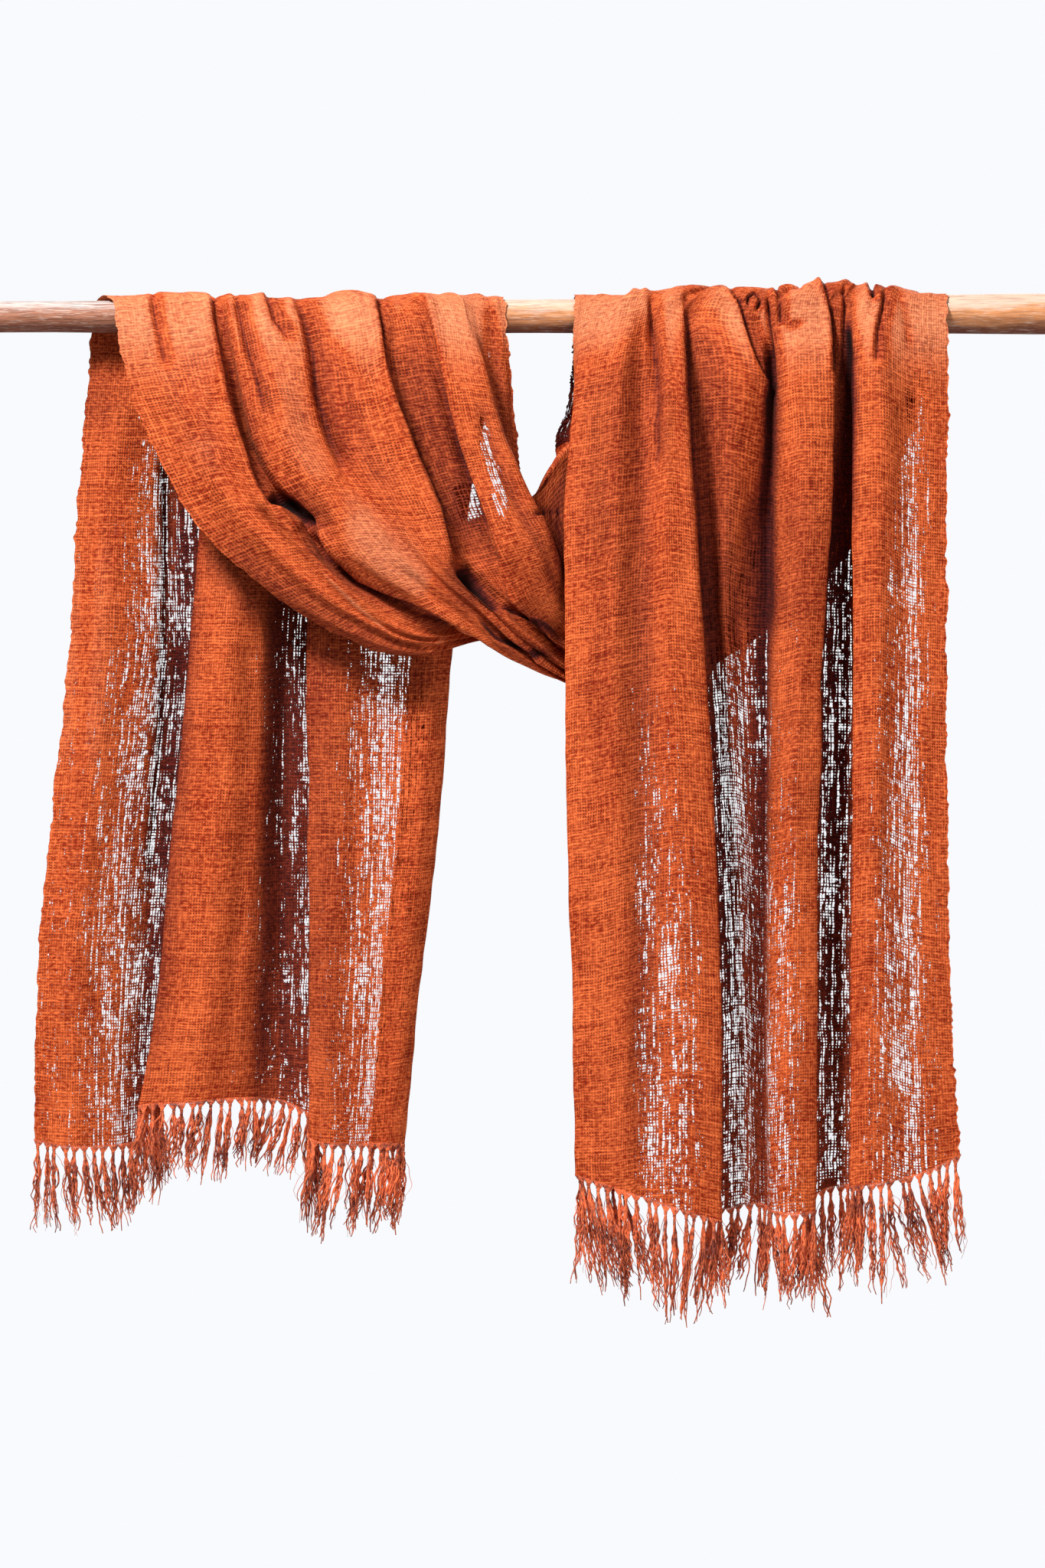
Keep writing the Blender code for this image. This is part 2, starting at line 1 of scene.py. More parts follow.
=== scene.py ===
"""The looks of the silk scarf on its rod: an open, uneven weave with slubs and thin places, knotted
fringes of loose yarns, and a bare wooden stick.

The cloth's form comes from the same folds as the solids: a row follows one fold, ridge or edge along the
scarf. The tables and the places on the cloth are in millimetres. Meshes, fringes and materials are in
metres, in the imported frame: +Z up, the front is -Y, and the rod's middle is the origin.
"""

import math

import bpy
import numpy as np
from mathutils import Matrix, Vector


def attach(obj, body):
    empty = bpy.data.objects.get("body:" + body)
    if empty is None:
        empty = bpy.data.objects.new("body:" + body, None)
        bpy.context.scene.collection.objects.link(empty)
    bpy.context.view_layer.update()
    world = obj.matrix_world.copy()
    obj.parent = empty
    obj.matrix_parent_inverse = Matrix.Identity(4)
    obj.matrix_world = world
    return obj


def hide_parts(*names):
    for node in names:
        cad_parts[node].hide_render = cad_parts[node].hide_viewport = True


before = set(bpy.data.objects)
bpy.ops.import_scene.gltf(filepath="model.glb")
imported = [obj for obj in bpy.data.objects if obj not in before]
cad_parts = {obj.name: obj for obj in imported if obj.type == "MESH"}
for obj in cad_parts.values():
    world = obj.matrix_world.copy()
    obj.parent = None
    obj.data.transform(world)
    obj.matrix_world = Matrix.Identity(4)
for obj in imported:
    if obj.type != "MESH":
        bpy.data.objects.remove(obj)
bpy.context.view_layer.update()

MM = 0.001

# The camera of the photograph: level, on the rod's middle, three metres away.
CAMERA_DISTANCE = 3.0
CAMERA_HEIGHT = -0.3672
FRAME_HEIGHT = 1.2288
SENSOR = 36.0
FLOOR_HEIGHT = -1.35
FLOOR_RADIUS = 1.1

# The width that places across the cloth are measured on, and the spacing of the drawn mesh.
CLOTH_WIDTH = 470
GRID = 2.05

# The cloth keeps this far from the rod.
ROD_CLEAR = 0.9

# Painted shade on the cloth grows from the first to the second of these distances behind what hangs
# within reach beside it, in metres. Gaps between pleats paint shade on cloth that lies back by the third.
RECESS_FROM = 0.009
RECESS_TO = 0.036
GAP_BACK = 0.0105
RECESS_REACH = 0.030

# Rod: a slightly tapered, slightly bent stick.
ROD = (
    {"across": -450, "radius": 12.0, "height": -1.2},
    {"across": -250, "radius": 12.5, "height": -1.0},
    {"across": 40, "radius": 13.2, "height": -0.6},
    {"across": 330, "radius": 15.2, "height": 0.9},
    {"across": 450, "radius": 16.2, "height": 1.2},
)

# Places of each row over the rod, from behind it to just short of its front.
CROWN_PLACES = 6

# Heights of the places of the two hanging ends, between the rod and the hem.
LEFT_HEIGHTS = (-35, -137, -263, -401, -533)
RIGHT_HEIGHTS = (-35, -113, -233, -383, -533)

# The swag's folds from the outer edge, which hangs lowest, to the inner edge. Columns are places along the
# cloth: on the rod's front, then down and across to where it goes behind the other end. On the rod, the
# height is the rod's own, so SWAG_HEIGHT starts below it.
SWAG_PLACES = ("rod", "below_rod", "upper", "middle", "low", "turn", "narrow", "behind", "foot_of_rise")
SWAG_ACROSS = {
    "outer_edge":   (-317, -310, -288, -248, -168, -85, -26, 50, 106),
    "outer_band":   (-279, -269, -248, -220, -153, -80, -21, 50, 106),
    "outer_ridge":  (-239, -230, -215, -187, -134, -75, -18, 50, 106),
    "outer_valley": (-234, -226, -210, -180, -138, -66, -15, 50, 106),
    "belly_lip":    (-228, -220, -202, -167, -137, -59, -12, 50, 106),
    "belly_low":    (-201, -190, -172, -137, -105, -46,  -9, 49, 106),
    "belly_crease": (-170, -162, -148, -117,  -81, -35,  -1, 49, 104),
    "belly_high":   (-139, -131, -113,  -90,  -63, -29,   4, 49, 104),
    "belly_ridge":  (-111, -104,  -83,  -62,  -48, -20,   9, 49, 102),
    "gap_near":     (-105,  -98,  -79,  -57,  -44, -16,  10, 49, 101),
    "gap_floor":    ( -91,  -82,  -63,  -47,  -30,  -6,  12, 50, 100),
    "gap_far":      ( -80,  -69,  -49,  -32,  -16,   2,  15, 49,  98),
    "cross_ridge":  ( -75,  -66,  -49,  -33,  -19,  -1,  14, 49,  96),
    "cross_band":   ( -49,  -42,  -25,  -12,    6,  20,  27, 49,  87),
    "cross_edge":   ( -42,  -28,   -8,    7,   21,  30,  35, 51,  78),
    "cross_under":  ( -36,  -29,  -17,   -6,    3,  12,  21, 42,  71),
    "inner_band":   ( -24,  -19,  -12,   -9,   -5,   1,  12, 39,  62),
    "inner_edge":   ( -13,   -9,   -3,    0,    5,  14,  24, 27,  27),
}
SWAG_HEIGHT = {
    "outer_edge":   (-43, -102, -171, -238, -270, -254, -273, -290),
    "outer_band":   (-44,  -96, -151, -220, -256, -247, -266, -282),
    "outer_ridge":  (-44, -109, -161, -214, -248, -240, -260, -273),
    "outer_valley": (-43, -106, -155, -201, -239, -235, -255, -267),
    "belly_lip":    (-44, -109, -159, -195, -245, -265, -283, -277),
    "belly_low":    (-45, -105, -155, -197, -239, -268, -289, -281),
    "belly_crease": (-43, -109, -154, -197, -235, -264, -287, -279),
    "belly_high":   (-44, -112, -157, -200, -230, -259, -285, -275),
    "belly_ridge":  (-44, -116, -164, -204, -233, -254, -279, -268),
    "gap_near":     (-43, -113, -161, -198, -227, -251, -276, -263),
    "gap_floor":    (-43, -110, -156, -196, -227, -248, -273, -257),
    "gap_far":      (-43, -109, -153, -191, -226, -244, -270, -252),
    "cross_ridge":  (-44, -114, -157, -198, -232, -248, -267, -247),
    "cross_band":   (-45, -110, -148, -183, -212, -232, -245, -218),
    "cross_edge":   (-44, -110, -143, -170, -190, -205, -216, -194),
    "cross_under":  (-44, -108, -148, -173, -181, -171, -155, -142),
    "inner_band":   (-43, -109, -136, -147, -146, -135, -100,  -72),
    "inner_edge":   (-43, -114, -142, -163, -167, -146, -114,  -94),
}
SWAG_DEPTH = {
    "outer_edge":   (-16, -17, -18, -19, -20, -14,   3, 24, 31),
    "outer_band":   (-19, -28, -34, -36, -36, -22,   0, 21, 28),
    "outer_ridge":  (-20, -31, -37, -39, -35, -23,  -4, 17, 24),
    "outer_valley": (-16, -20, -21, -21, -23, -22, -13, 12, 19),
    "belly_lip":    (-18, -29, -34, -36, -37, -33, -21,  5, 14),
    "belly_low":    (-21, -35, -43, -46, -48, -40, -27,  0,  9),
    "belly_crease": (-17, -24, -31, -42, -47, -38, -26, -4,  5),
    "belly_high":   (-21, -34, -42, -47, -50, -42, -31, -7,  1),
    "belly_ridge":  (-20, -34, -41, -45, -46, -39, -30, -8, -2),
    "gap_near":     (-16, -22, -26, -26, -26, -27, -21, -2,  4),
    "gap_floor":    (-16, -20, -23, -24, -24, -23, -16,  3,  9),
    "gap_far":      (-16, -21, -24, -26, -28, -27, -21, -2,  5),
    "cross_ridge":  (-21, -34, -40, -44, -46, -39, -31, -9, -1),
    "cross_band":   (-22, -38, -46, -50, -52, -41, -29, -8,  1),
    "cross_edge":   (-21, -34, -39, -41, -41, -31, -20, -3,  5),
    "cross_under":  (-17, -25, -28, -28, -24, -16,  -8,  2, 10),
    "inner_band":   (-17, -20, -20, -17, -13,  -7,  -1,  7, 15),
    "inner_edge":   (-16, -17, -14,  -4,   8,  15,  17, 18, 18),
}

# How far the cloth stands off the top of the rod at the left, and where each fold ends behind the rod at
# the right. Columns: stand-off, across at the end, depth at the end.
SWAG_ENDS = {
    "outer_edge":   (3.6, 332,   18),
    "outer_band":   (  5, 314,   20),
    "outer_ridge":  (  6, 297,   19),
    "outer_valley": (1.2, 289,   18),
    "belly_lip":    (4.5, 282,   20),
    "belly_low":    (  5, 267,   21),
    "belly_crease": (1.2, 251,   19),
    "belly_high":   (2.2, 234,   21),
    "belly_ridge":  (7.5, 216,   20),
    "gap_near":     (1.2, 207, 18.5),
    "gap_floor":    (1.2, 196,   18),
    "gap_far":      (1.2, 186,   18),
    "cross_ridge":  (3.8, 177,   20),
    "cross_band":   (4.2, 153,   20),
    "cross_edge":   (3.8, 125,   19),
    "cross_under":  (3.4, 104,   18),
    "inner_band":   (3.2,  80,   18),
    "inner_edge":   (  3,  41,   17),
}

# The rise behind the rod bows out to the right at these parts of its height.
RISE_TURNS = (0.35, 0.68)
RISE_BOW = 0.72

# The end behind the rod, from its outer edge. Columns are the rod, the places of LEFT_HEIGHTS, the hem, and
# then the height of the hem.
LEFT_ACROSS = {
    "outer_edge":  (-339, -341, -350, -358, -373, -384, -385, -649),
    "panel_1":     (-318, -320, -327, -333, -346, -357, -359, -653),
    "slope_1":     (-284, -286, -294, -297, -314, -323, -326, -654),
    "valley_1":    (-263, -266, -274, -273, -284, -296, -302, -651),
    "under_1":     (-251, -251, -247, -252, -266, -279, -286, -638),
    "edge_2":      (-240, -245, -252, -263, -276, -289, -303, -622),
    "panel_2":     (-217, -220, -224, -233, -242, -251, -260, -618),
    "slope_2":     (-191, -193, -201, -208, -214, -222, -228, -616),
    "valley_2":    (-168, -171, -180, -187, -189, -190, -193, -619),
    "under_2":     (-154, -151, -157, -161, -162, -163, -164, -636),
    "edge_3":      (-143, -149, -162, -170, -169, -169, -169, -646),
    "panel_3":     (-120, -126, -139, -146, -149, -152, -153, -651),
    "dip_3":       ( -84,  -90, -101, -107, -110, -116, -125, -652),
    "crest_3":     ( -57,  -52,  -63,  -73,  -82,  -96, -105, -651),
    "turn_edge":   ( -39,  -29,  -41,  -56,  -66,  -81,  -93, -653),
    "turned_back": ( -29,  -26,  -51,  -68,  -81,  -96, -106, -655),
    "inner_edge":  ( -20,  -31,  -67,  -87,  -99, -112, -121, -654),
}
LEFT_DEPTH = {
    "outer_edge":  (  15,   16, 19, 22, 23, 24, 24),
    "panel_1":     (  16,   16, 15, 14, 14, 15, 16),
    "slope_1":     (15.5,   18, 26, 30, 30, 30, 30),
    "valley_1":    (  17,   24, 40, 48, 48, 46, 44),
    "under_1":     (  17,   22, 38, 44, 44, 42, 40),
    "edge_2":      (15.5,   17, 20, 22, 21, 20, 19),
    "panel_2":     (16.5,   15, 12, 11, 11, 11, 11),
    "slope_2":     (  16,   18, 20, 22, 22, 22, 22),
    "valley_2":    (17.5,   24, 40, 47, 47, 46, 44),
    "under_2":     (  17,   22, 38, 44, 44, 42, 40),
    "edge_3":      (15.8,   17, 20, 22, 21, 21, 20),
    "panel_3":     (16.5,   15, 13, 13, 13, 14, 14),
    "dip_3":       (  16,   18, 20, 22, 22, 22, 22),
    "crest_3":     (16.5,   16, 15, 15, 15, 15, 15),
    "turn_edge":   (16.5, 18.5, 24, 27, 27, 26, 25),
    "turned_back": (  17,   23, 37, 41, 41, 40, 38),
    "inner_edge":  (17.5,   28, 41, 46, 45, 44, 42),
}

# The end in front of the rod, from its inner edge. Columns are the rod, the places of RIGHT_HEIGHTS, the
# hem, the height of the hem, and how far the cloth stands off the top of the rod.
RIGHT_ACROSS = {
    "inner_edge":  ( 41,  40,  56,  77,  87,  87,  83, -684,  3.6),
    "turned_back": ( 44,  41,  44,  56,  62,  63,  62, -678,  3.4),
    "turn_edge":   ( 49,  44,  35,  33,  35,  38,  40, -671,  3.2),
    "panel_1":     ( 64,  58,  53,  51,  53,  57,  59, -676,  2.8),
    "crest_1":     ( 85,  77,  73,  69,  73,  78,  79, -683,    4),
    "valley_1":    (101,  99,  97,  92,  93,  94,  96, -688,  8.5),
    "pleat_2":     (111, 112, 113, 114, 119, 124, 124, -697,    8),
    "edge_2":      (125, 128, 132, 139, 148, 154, 154, -706,  2.6),
    "under_2":     (129, 128, 129, 132, 138, 144, 144, -702,    5),
    "side_3":      (135, 138, 143, 149, 156, 162, 162, -698,    8),
    "panel_3":     (156, 161, 159, 158, 167, 173, 174, -695,    8),
    "edge_3":      (180, 187, 183, 174, 179, 183, 184, -695,  4.5),
    "under_3":     (188, 192, 193, 191, 190, 189, 190, -697,    7),
    "edge_4":      (193, 195, 198, 198, 194, 191, 192, -699,  1.2),
    "pleat_4":     (216, 215, 217, 215, 211, 209, 209, -700,    9),
    "edge_5":      (237, 240, 241, 234, 230, 229, 228, -699, 11.5),
    "under_5":     (241, 240, 237, 227, 223, 220, 220, -695,    8),
    "gap_5":       (248, 248, 250, 247, 245, 243, 243, -682,  5.5),
    "under_6":     (255, 258, 266, 267, 267, 266, 265, -680,    5),
    "edge_6":      (260, 257, 256, 256, 256, 255, 254, -680,    5),
    "pleat_6":     (278, 277, 277, 277, 275, 274, 274, -677,    8),
    "panel_6":     (304, 304, 303, 303, 302, 303, 306, -671,  1.2),
    "outer_edge":  (331, 331, 330, 329, 330, 333, 340, -656,  1.2),
}
RIGHT_DEPTH = {
    "inner_edge":  (  -17, -18, -20, -26, -23, -20, -18),
    "turned_back": (  -18, -21, -23, -29, -26, -23, -21),
    "turn_edge":   (-18.5, -25, -31, -37, -34, -31, -30),
    "panel_1":     (  -19, -32, -40, -45, -43, -40, -38),
    "crest_1":     (  -22, -34, -43, -47, -45, -42, -40),
    "valley_1":    (-17.5, -22, -31, -41, -41, -39, -37),
    "pleat_2":     (  -21, -35, -43, -47, -47, -45, -43),
    "edge_2":      (  -21, -34, -39, -40, -39, -38, -36),
    "under_2":     (-17.5, -24, -25, -25, -24, -23, -22),
    "side_3":      (  -18, -24, -19, -14, -10, -10, -12),
    "panel_3":     (  -22, -35, -33, -23, -14, -12, -14),
    "edge_3":      (  -20, -29, -25, -14,  -9,  -8, -10),
    "under_3":     (-17.8, -21, -14,  -8,  -7,  -7,  -9),
    "edge_4":      (  -19, -27, -28, -28, -26, -25, -25),
    "pleat_4":     (  -23, -38, -44, -44, -42, -40, -39),
    "edge_5":      (  -22, -33, -37, -37, -35, -33, -32),
    "under_5":     (-18.3, -22, -21, -20, -19, -18, -18),
    "gap_5":       (-17.8, -17,  -9,  -5,  -4,  -5,  -6),
    "under_6":     (-18.5, -20, -18, -17, -17, -17, -17),
    "edge_6":      (  -21, -28, -31, -31, -31, -30, -29),
    "pleat_6":     (  -23, -35, -39, -39, -38, -37, -36),
    "panel_6":     (  -20, -26, -28, -29, -29, -29, -29),
    "outer_edge":  (-18.5, -23, -26, -27, -27, -27, -27),
}
# How open the weave is along each fold, in percent: 0 is close, and 100 leaves gaps a little wider than the
# yarns. Columns are the rod, a quarter, half and three quarters of the way, and the hem.
LEFT_OPEN = {
    "outer_edge":  (10,  25,  42,  50,  50),
    "panel_1":     ( 2,  20,  42,  52,  52),
    "slope_1":     (60,  90,  92,  90,  88),
    "valley_1":    (45,  75,  85,  85,  85),
    "under_1":     (88,  96,  97,  93,  90),
    "edge_2":      ( 0,   0,   0,   0,   0),
    "panel_2":     ( 0,   0,   2,   5,   8),
    "slope_2":     (10,  15,  20,  30,  35),
    "valley_2":    (50,  60,  62,  62,  62),
    "under_2":     (85, 105, 108, 108, 105),
    "edge_3":      ( 0,   0,   0,   5,  10),
    "panel_3":     ( 0,  20,  42,  48,  48),
    "dip_3":       (80, 100, 102,  98,  96),
    "crest_3":     (20,  62,  66,  62,  60),
    "turn_edge":   ( 0,   0,   0,   5,  10),
    "turned_back": ( 0,   0,   0,   0,   0),
    "inner_edge":  ( 0,   0,   0,   0,   0),
}
RIGHT_OPEN = {
    "inner_edge":  ( 0,  0,   0,  0,  0),
    "turned_back": ( 0,  0,   0,  0,  0),
    "turn_edge":   ( 0,  0,   0,  0,  0),
    "panel_1":     ( 0,  0,   0,  0,  2),
    "crest_1":     ( 0,  0,   2,  8, 12),
    "valley_1":    ( 5, 10,  64, 80, 84),
    "pleat_2":     ( 0,  0,  40, 82, 85),
    "edge_2":      ( 0,  0,   0,  0,  5),
    "under_2":     (20, 20,  30, 40, 40),
    "side_3":      ( 5, 20, 100, 96, 95),
    "panel_3":     ( 2, 20,  96, 92, 92),
    "edge_3":      (10, 40,  85, 66, 66),
    "under_3":     (20, 40,  70, 60, 58),
    "edge_4":      ( 0,  0,  42, 78, 82),
    "pleat_4":     ( 0,  0,  35, 78, 82),
    "edge_5":      ( 0,  0,   0,  0,  0),
    "under_5":     (20, 40,  88, 88, 85),
    "gap_5":       (30, 70,  84, 80, 80),
    "under_6":     (20, 40,  85, 85, 85),
    "edge_6":      ( 0,  0,   0,  0,  0),
    "pleat_6":     ( 0, 10,  55, 68, 68),
    "panel_6":     (20, 95, 100, 98, 96),
    "outer_edge":  ( 0,  0,   0, 10, 10),
}
SWAG_OPEN = 3
RISE_OPEN = 15

# Unevenness of the cloth: its height, its cells across and along the cloth, and its seed. Rucks, and a
# painted highlight that makes the cloth paler, keep to the crown: the middle and the reach of their bands
# are heights in metres, and the share is how strong the painted highlight is.
SWELLS = (1.0, (26, 60), 3)
PUCKERS = (0.4, (9, 14), 4)
RUCKS = (2.4, (11, 26), 5)
RUCK_BAND = (0.012, 0.022)
CROWN_HIGHLIGHT_BAND = (-0.004, 0.032)
CROWN_HIGHLIGHT_SHARE = 0.30

# Gathers along the swag and the rise. Columns: how far along the cloth, how deep the gathers are there, and
# how far the whole cloth moves back. They drift by a part of their width, and vary by a part of their depth.
GATHER_WIDTH = 34
GATHER_DRIFT = (0.5, (70, 110), 21)
GATHER_VARIES = (0.35, (50, 60), 22)
GATHERS = (
    (0, 0, 0), (60, 0.5, 0), (200, 1.2, 0), (310, 1.6, 0), (390, 3.6, 0),
    (450, 5.5, 1), (520, 7, 4), (690, 7, 7), (742, 0, 0),
)

# Creases, tucks and shades, placed as seen from the front. Columns: width, how far the crease lifts the
# cloth, how much painted shade it gives (1 is deep red, 1.4 is nearly black, less than 0 is a painted
# highlight), how far it opens the weave, and its line, as places across and up. One darker than TUCK_DARK
# is a tuck: where its line is listed from the top down, the cloth stands up on its left and a painted
# shadow falls on its right, and where it is listed from the bottom up, the other way round. One over 1
# that lifts nothing is a gap between pleats, and paints shade only on the cloth that lies behind them.
# With a lift of 0.01 either way, only what it paints shows.
BEHIND_CREASES = {
    "under_swag_gap": (12, -1, 0.7, 0, (-196, -221), (-192, -353), (-189, -533), (-188, -617)),
    "side_of_first": (5, -2, 0.9, 0, (-281, -89), (-280, -185), (-282, -293), (-292, -443)),
    "edge_shade": (19, 0, 1.02, 0, (-264, -89), (-267, -293), (-281, -473), (-296, -605)),
    "panel_2_soft": (14, 1, 0, 0, (-230, -209), (-234, -353), (-246, -593)),
    "panel_2_dent": (7, -1.2, 0.18, 0, (-214, -245), (-219, -413), (-230, -563)),
    "panel_1_dent": (7, -1, 0.12, 0, (-338, -65), (-342, -233), (-354, -443)),
    "panel_3_dent": (6, -1.2, 0.15, 0.05, (-128, -281), (-132, -443), (-141, -623)),
    "top_shade": (36, 0, 0.4, 0, (-352, -11), (-350, -41), (-351, -89)),
    "swag_shade": (15, 0, 0.5, 0, (-260, -167), (-218, -218), (-176, -256), (-128, -276), (-68, -284)),
    "panel_2_side": (17, 0, 0.8, 0, (-195, -197), (-198, -353), (-202, -503), (-206, -617)),
    "turned_edge": (6, 1, 0, 0, (-74, -281), (-81, -413), (-96, -593)),
    "glow": (17, 0.01, -0.1, 0, (-342, -173), (-345, -269), (-347, -353)),
}
SWAG_CREASES = {
    "pinch": (2.6, -3.2, 0.85, 0, (-290, 16), (-290, 4), (-286, -14), (-281, -38)),
    "pinch_soft": (9, -1.5, 0.12, 0, (-268, 12), (-270, -11), (-266, -53), (-252, -101)),
    "outer_crevice": (3.4, -7.5, 1.25, 0, (-242, 14), (-240, -4), (-235, -29), (-229, -59), (-219, -96),
        (-207, -128), (-197, -148)),
    "pocket": (7, -9, 1.5, 0, (-198, -143), (-184, -150), (-164, -167)),
    "belly_crevice": (3.6, -6, 1.02, 0, (-51, -245), (-74, -233), (-98, -224), (-130, -207), (-153, -186),
        (-168, -162)),
    "tuck_1": (3, -4, 0.95, 0, (-226, 17), (-222, -5), (-214, -35), (-202, -77)),
    "tuck_1_side": (5, -1.5, 0.15, 0, (-210, -17), (-214, -41), (-212, -65)),
    "tuck_2": (2.8, -4, 0.95, 0, (-201, 16), (-195, -2), (-184, -17)),
    "belly_valley": (4.5, -5.5, 0.9, 0, (-178, 14), (-171, -6), (-165, -32), (-162, -62), (-153, -94),
        (-140, -122)),
    "belly_side": (11, -1, 0.32, 0, (-153, -17), (-142, -53), (-128, -95), (-104, -143)),
    "gap_edge": (3.2, -6, 1.2, 0, (-114, 17), (-109, -8), (-105, -35), (-95, -71), (-80, -112), (-63, -150),
        (-51, -190)),
    "gap_shade": (14, -1, 0.5, 0, (-92, 7), (-86, -35), (-76, -83), (-58, -137), (-36, -191)),
    "cross_crevice": (3.4, -6, 0.95, 0, (-19, -191), (-29, -162), (-43, -126), (-52, -98), (-63, -56),
        (-70, -20), (-78, 13)),
    "pocket_in_shade": (8, -9, 1.5, 0, (-18, -230), (-35, -211), (-47, -196)),
    "lower_recess": (3.6, -4, 1.2, 0, (-33, -240), (-20, -254), (4, -264), (22, -268)),
    "last_crevice": (3, -4, 1.1, 0, (-18, -227), (9, -242), (33, -260)),
    "under_lip": (5.5, -2, 0.35, 0, (-146, -233), (-110, -251), (-74, -263)),
    "under_band": (14, -0.01, 0.5, 0, (-230, -182), (-194, -212), (-152, -242), (-110, -262), (-74, -268)),
    "band_low": (9, -0.01, 0.4, 0, (-206, -215), (-164, -245), (-128, -262), (-98, -270)),
    "end_shade": (16, -0.01, 0.72, 0, (42, -113), (33, -131), (27, -149), (26, -173), (34, -209)),
    "end_fold": (2.8, -3.4, 1.15, 0, (10, -156), (25, -154), (40, -154)),
    "inner_fold": (5.5, -3, 0.5, 0, (-34, -65), (-20, -113), (-4, -149), (18, -188), (32, -227)),
    "inner_shade": (7, -1.5, 0.42, 0, (-26, 7), (-21, -41), (-12, -101)),
    "sheer_streak": (5.5, 0, 0, 0.95, (-33, -77), (-28, -107), (-20, -130), (-15, -158)),
    "sheer_window": (9.5, 0, 0, 1.2, (-45, -131), (-42, -161)),
    "sheer_line": (2.6, 0, 0, 0.55, (-27, -26), (-25, -65)),
    "sheer_gap": (7, 0, 0, 0.22, (-102, -11), (-92, -53), (-82, -101)),
    "low_glow": (17, 0.01, -0.26, 0, (-136, -155), (-106, -190), (-70, -212)),
    "lip_line": (1.8, 1.6, -0.3, 0, (-158, -200), (-128, -230), (-98, -254), (-74, -260), (-51, -247),
        (-39, -252)),
    "upper_glow": (12, 0.01, -0.12, 0, (-273, -5), (-266, -53), (-248, -113)),
    "middle_glow": (12, 0.01, -0.12, 0, (-186, -41), (-174, -89), (-158, -131)),
}
RISE_CREASES = {
    "shaded": (18, -0.01, 1.1, 0.62, (38, -11), (33, -53), (27, -95), (31, -185)),
    "fold": (2.6, -3, 1, 0, (10, -157), (24, -154), (42, -154)),
}
FRONT_CREASES = {
    "roll": (4, 3.4, 0, 0, (86, 14), (92, 22), (99, 17)),
    "roll_2": (6, 3, 0, 0, (118, 17), (134, 21), (158, 18)),
    "roll_3": (5, 3, 0, 0, (201, 17), (208, 21), (214, 17)),
    "roll_4": (5, 3.2, 0, 0, (220, 19), (231, 26), (238, 22)),
    "roll_5": (4, 3, 0, 0, (246, 19), (253, 25), (259, 20)),
    "roll_6": (4.5, 3, 0, 0, (264, 18), (272, 24), (278, 19)),
    "roll_crevice": (3, -4, 0.85, 0, (100, 14), (100, -8), (102, -41), (104, -77), (105, -119)),
    "roll_shade": (11, -1.5, 0.5, 0, (93, -5), (92, -77), (92, -137), (93, -233), (96, -413), (96, -653)),
    "upper_shade": (24, -0.01, 0.3, 0, (64, -41), (62, -113), (64, -191)),
    "crest_dent": (8, -1.2, 0.12, 0, (68, -35), (64, -173), (63, -353)),
    "first_side": (13, 0, 0.3, 0, (84, -11), (81, -89), (84, -209), (86, -353)),
    "mid_shade": (16, 0, 0.16, 0, (214, -89), (212, -233), (208, -413)),
    "edge_crevice": (4, -3, 1, 0, (127, 17), (129, -11), (131, -59), (135, -119), (139, -179), (144, -251)),
    "side_shade": (18, -1, 0.5, 0, (138, 7), (148, -53), (153, -137), (160, -233)),
    "side_low": (18, -1, 0.6, 0, (182, -137), (174, -197), (164, -251)),
    "twist_left": (2.8, -5, 1.15, 0, (161, 22), (170, 11), (175, -5), (181, -23), (192, -49)),
    "twist_floor": (5, -3.5, 0.5, 0, (181, -2), (186, -20), (191, -40)),
    "twist_knot": (2, -4, 1.3, 0, (177, 8), (177, 14), (182, 17), (186, 11), (183, 5)),
    "twist_right": (2.4, -4, 1.1, 0, (192, 17), (193, -11), (194, -41), (195, -62)),
    "notch_4": (2.2, -3.5, 1.1, 0, (198, 22), (201, 11), (201, -7)),
    "deep_3": (9, 0, 1.3, 0, (194, -35), (192, -101), (189, -143), (190, -185), (193, -251)),
    "panel_3_fold": (9, 1.5, 0, 0, (182, -47), (170, -89), (165, -149), (171, -233)),
    "droop": (3, -3, 0.5, 0, (201, 5), (210, -8), (219, -5)),
    "edge_5_tuck": (2.6, -4.5, 1.15, 0, (234, 30), (241, 11), (243, -11), (244, -44)),
    "edge_5_line": (2.4, -3, 1, 0, (250, 22), (252, 7), (251, -23), (249, -53)),
    "gap_5_top": (10, 0, 1.4, 0, (255, 14), (256, -23), (256, -65), (253, -113), (250, -167)),
    "crown_hole": (2.6, -5, 1.5, 0, (273, 22), (274, 15)),
    "tuck_6": (2.6, -4, 0.95, 0, (284, 22), (282, 6), (278, -11), (277, -35)),
    "soft_6": (4, -1.8, 0.18, 0, (294, 22), (299, 6), (304, -23)),
    "pleat_4_dent": (6, -1.2, 0.12, 0, (220, -53), (214, -173), (208, -353)),
    "pleat_6_dent": (7, -1.2, 0.1, 0, (286, -113), (288, -233), (286, -473)),
    "loose_2": (4, 0, 0, 0.35, (94, -173), (93, -209)),
    "loose_3": (5, 0, 0, 0.35, (146, -23), (144, -77), (148, -137)),
}
CREASES = {
    "tail_behind": BEHIND_CREASES,
    "swag": SWAG_CREASES,
    "rise": RISE_CREASES,
    "tail_front": FRONT_CREASES,
}
TUCK_DARK = 0.5

# A tuck falls off faster on its ridge's side. Its ridge and its shadow: how far they lie from its line and
# how wide they are, in widths of the tuck, and how strong they are beside it.
TUCK_STEEP = 0.45
TUCK_RIDGE = (1.4, 1.1, 0.55)
TUCK_SHADOW = (-1.6, 2.2, 0.55)

# A crease fades to this share of itself over this part of its length at both ends. The weave opens by this
# much more than the crease is there, up to the whole of it.
CREASE_END = 0.4
CREASE_FADE = 0.15
OPEN_GAIN = 1.6

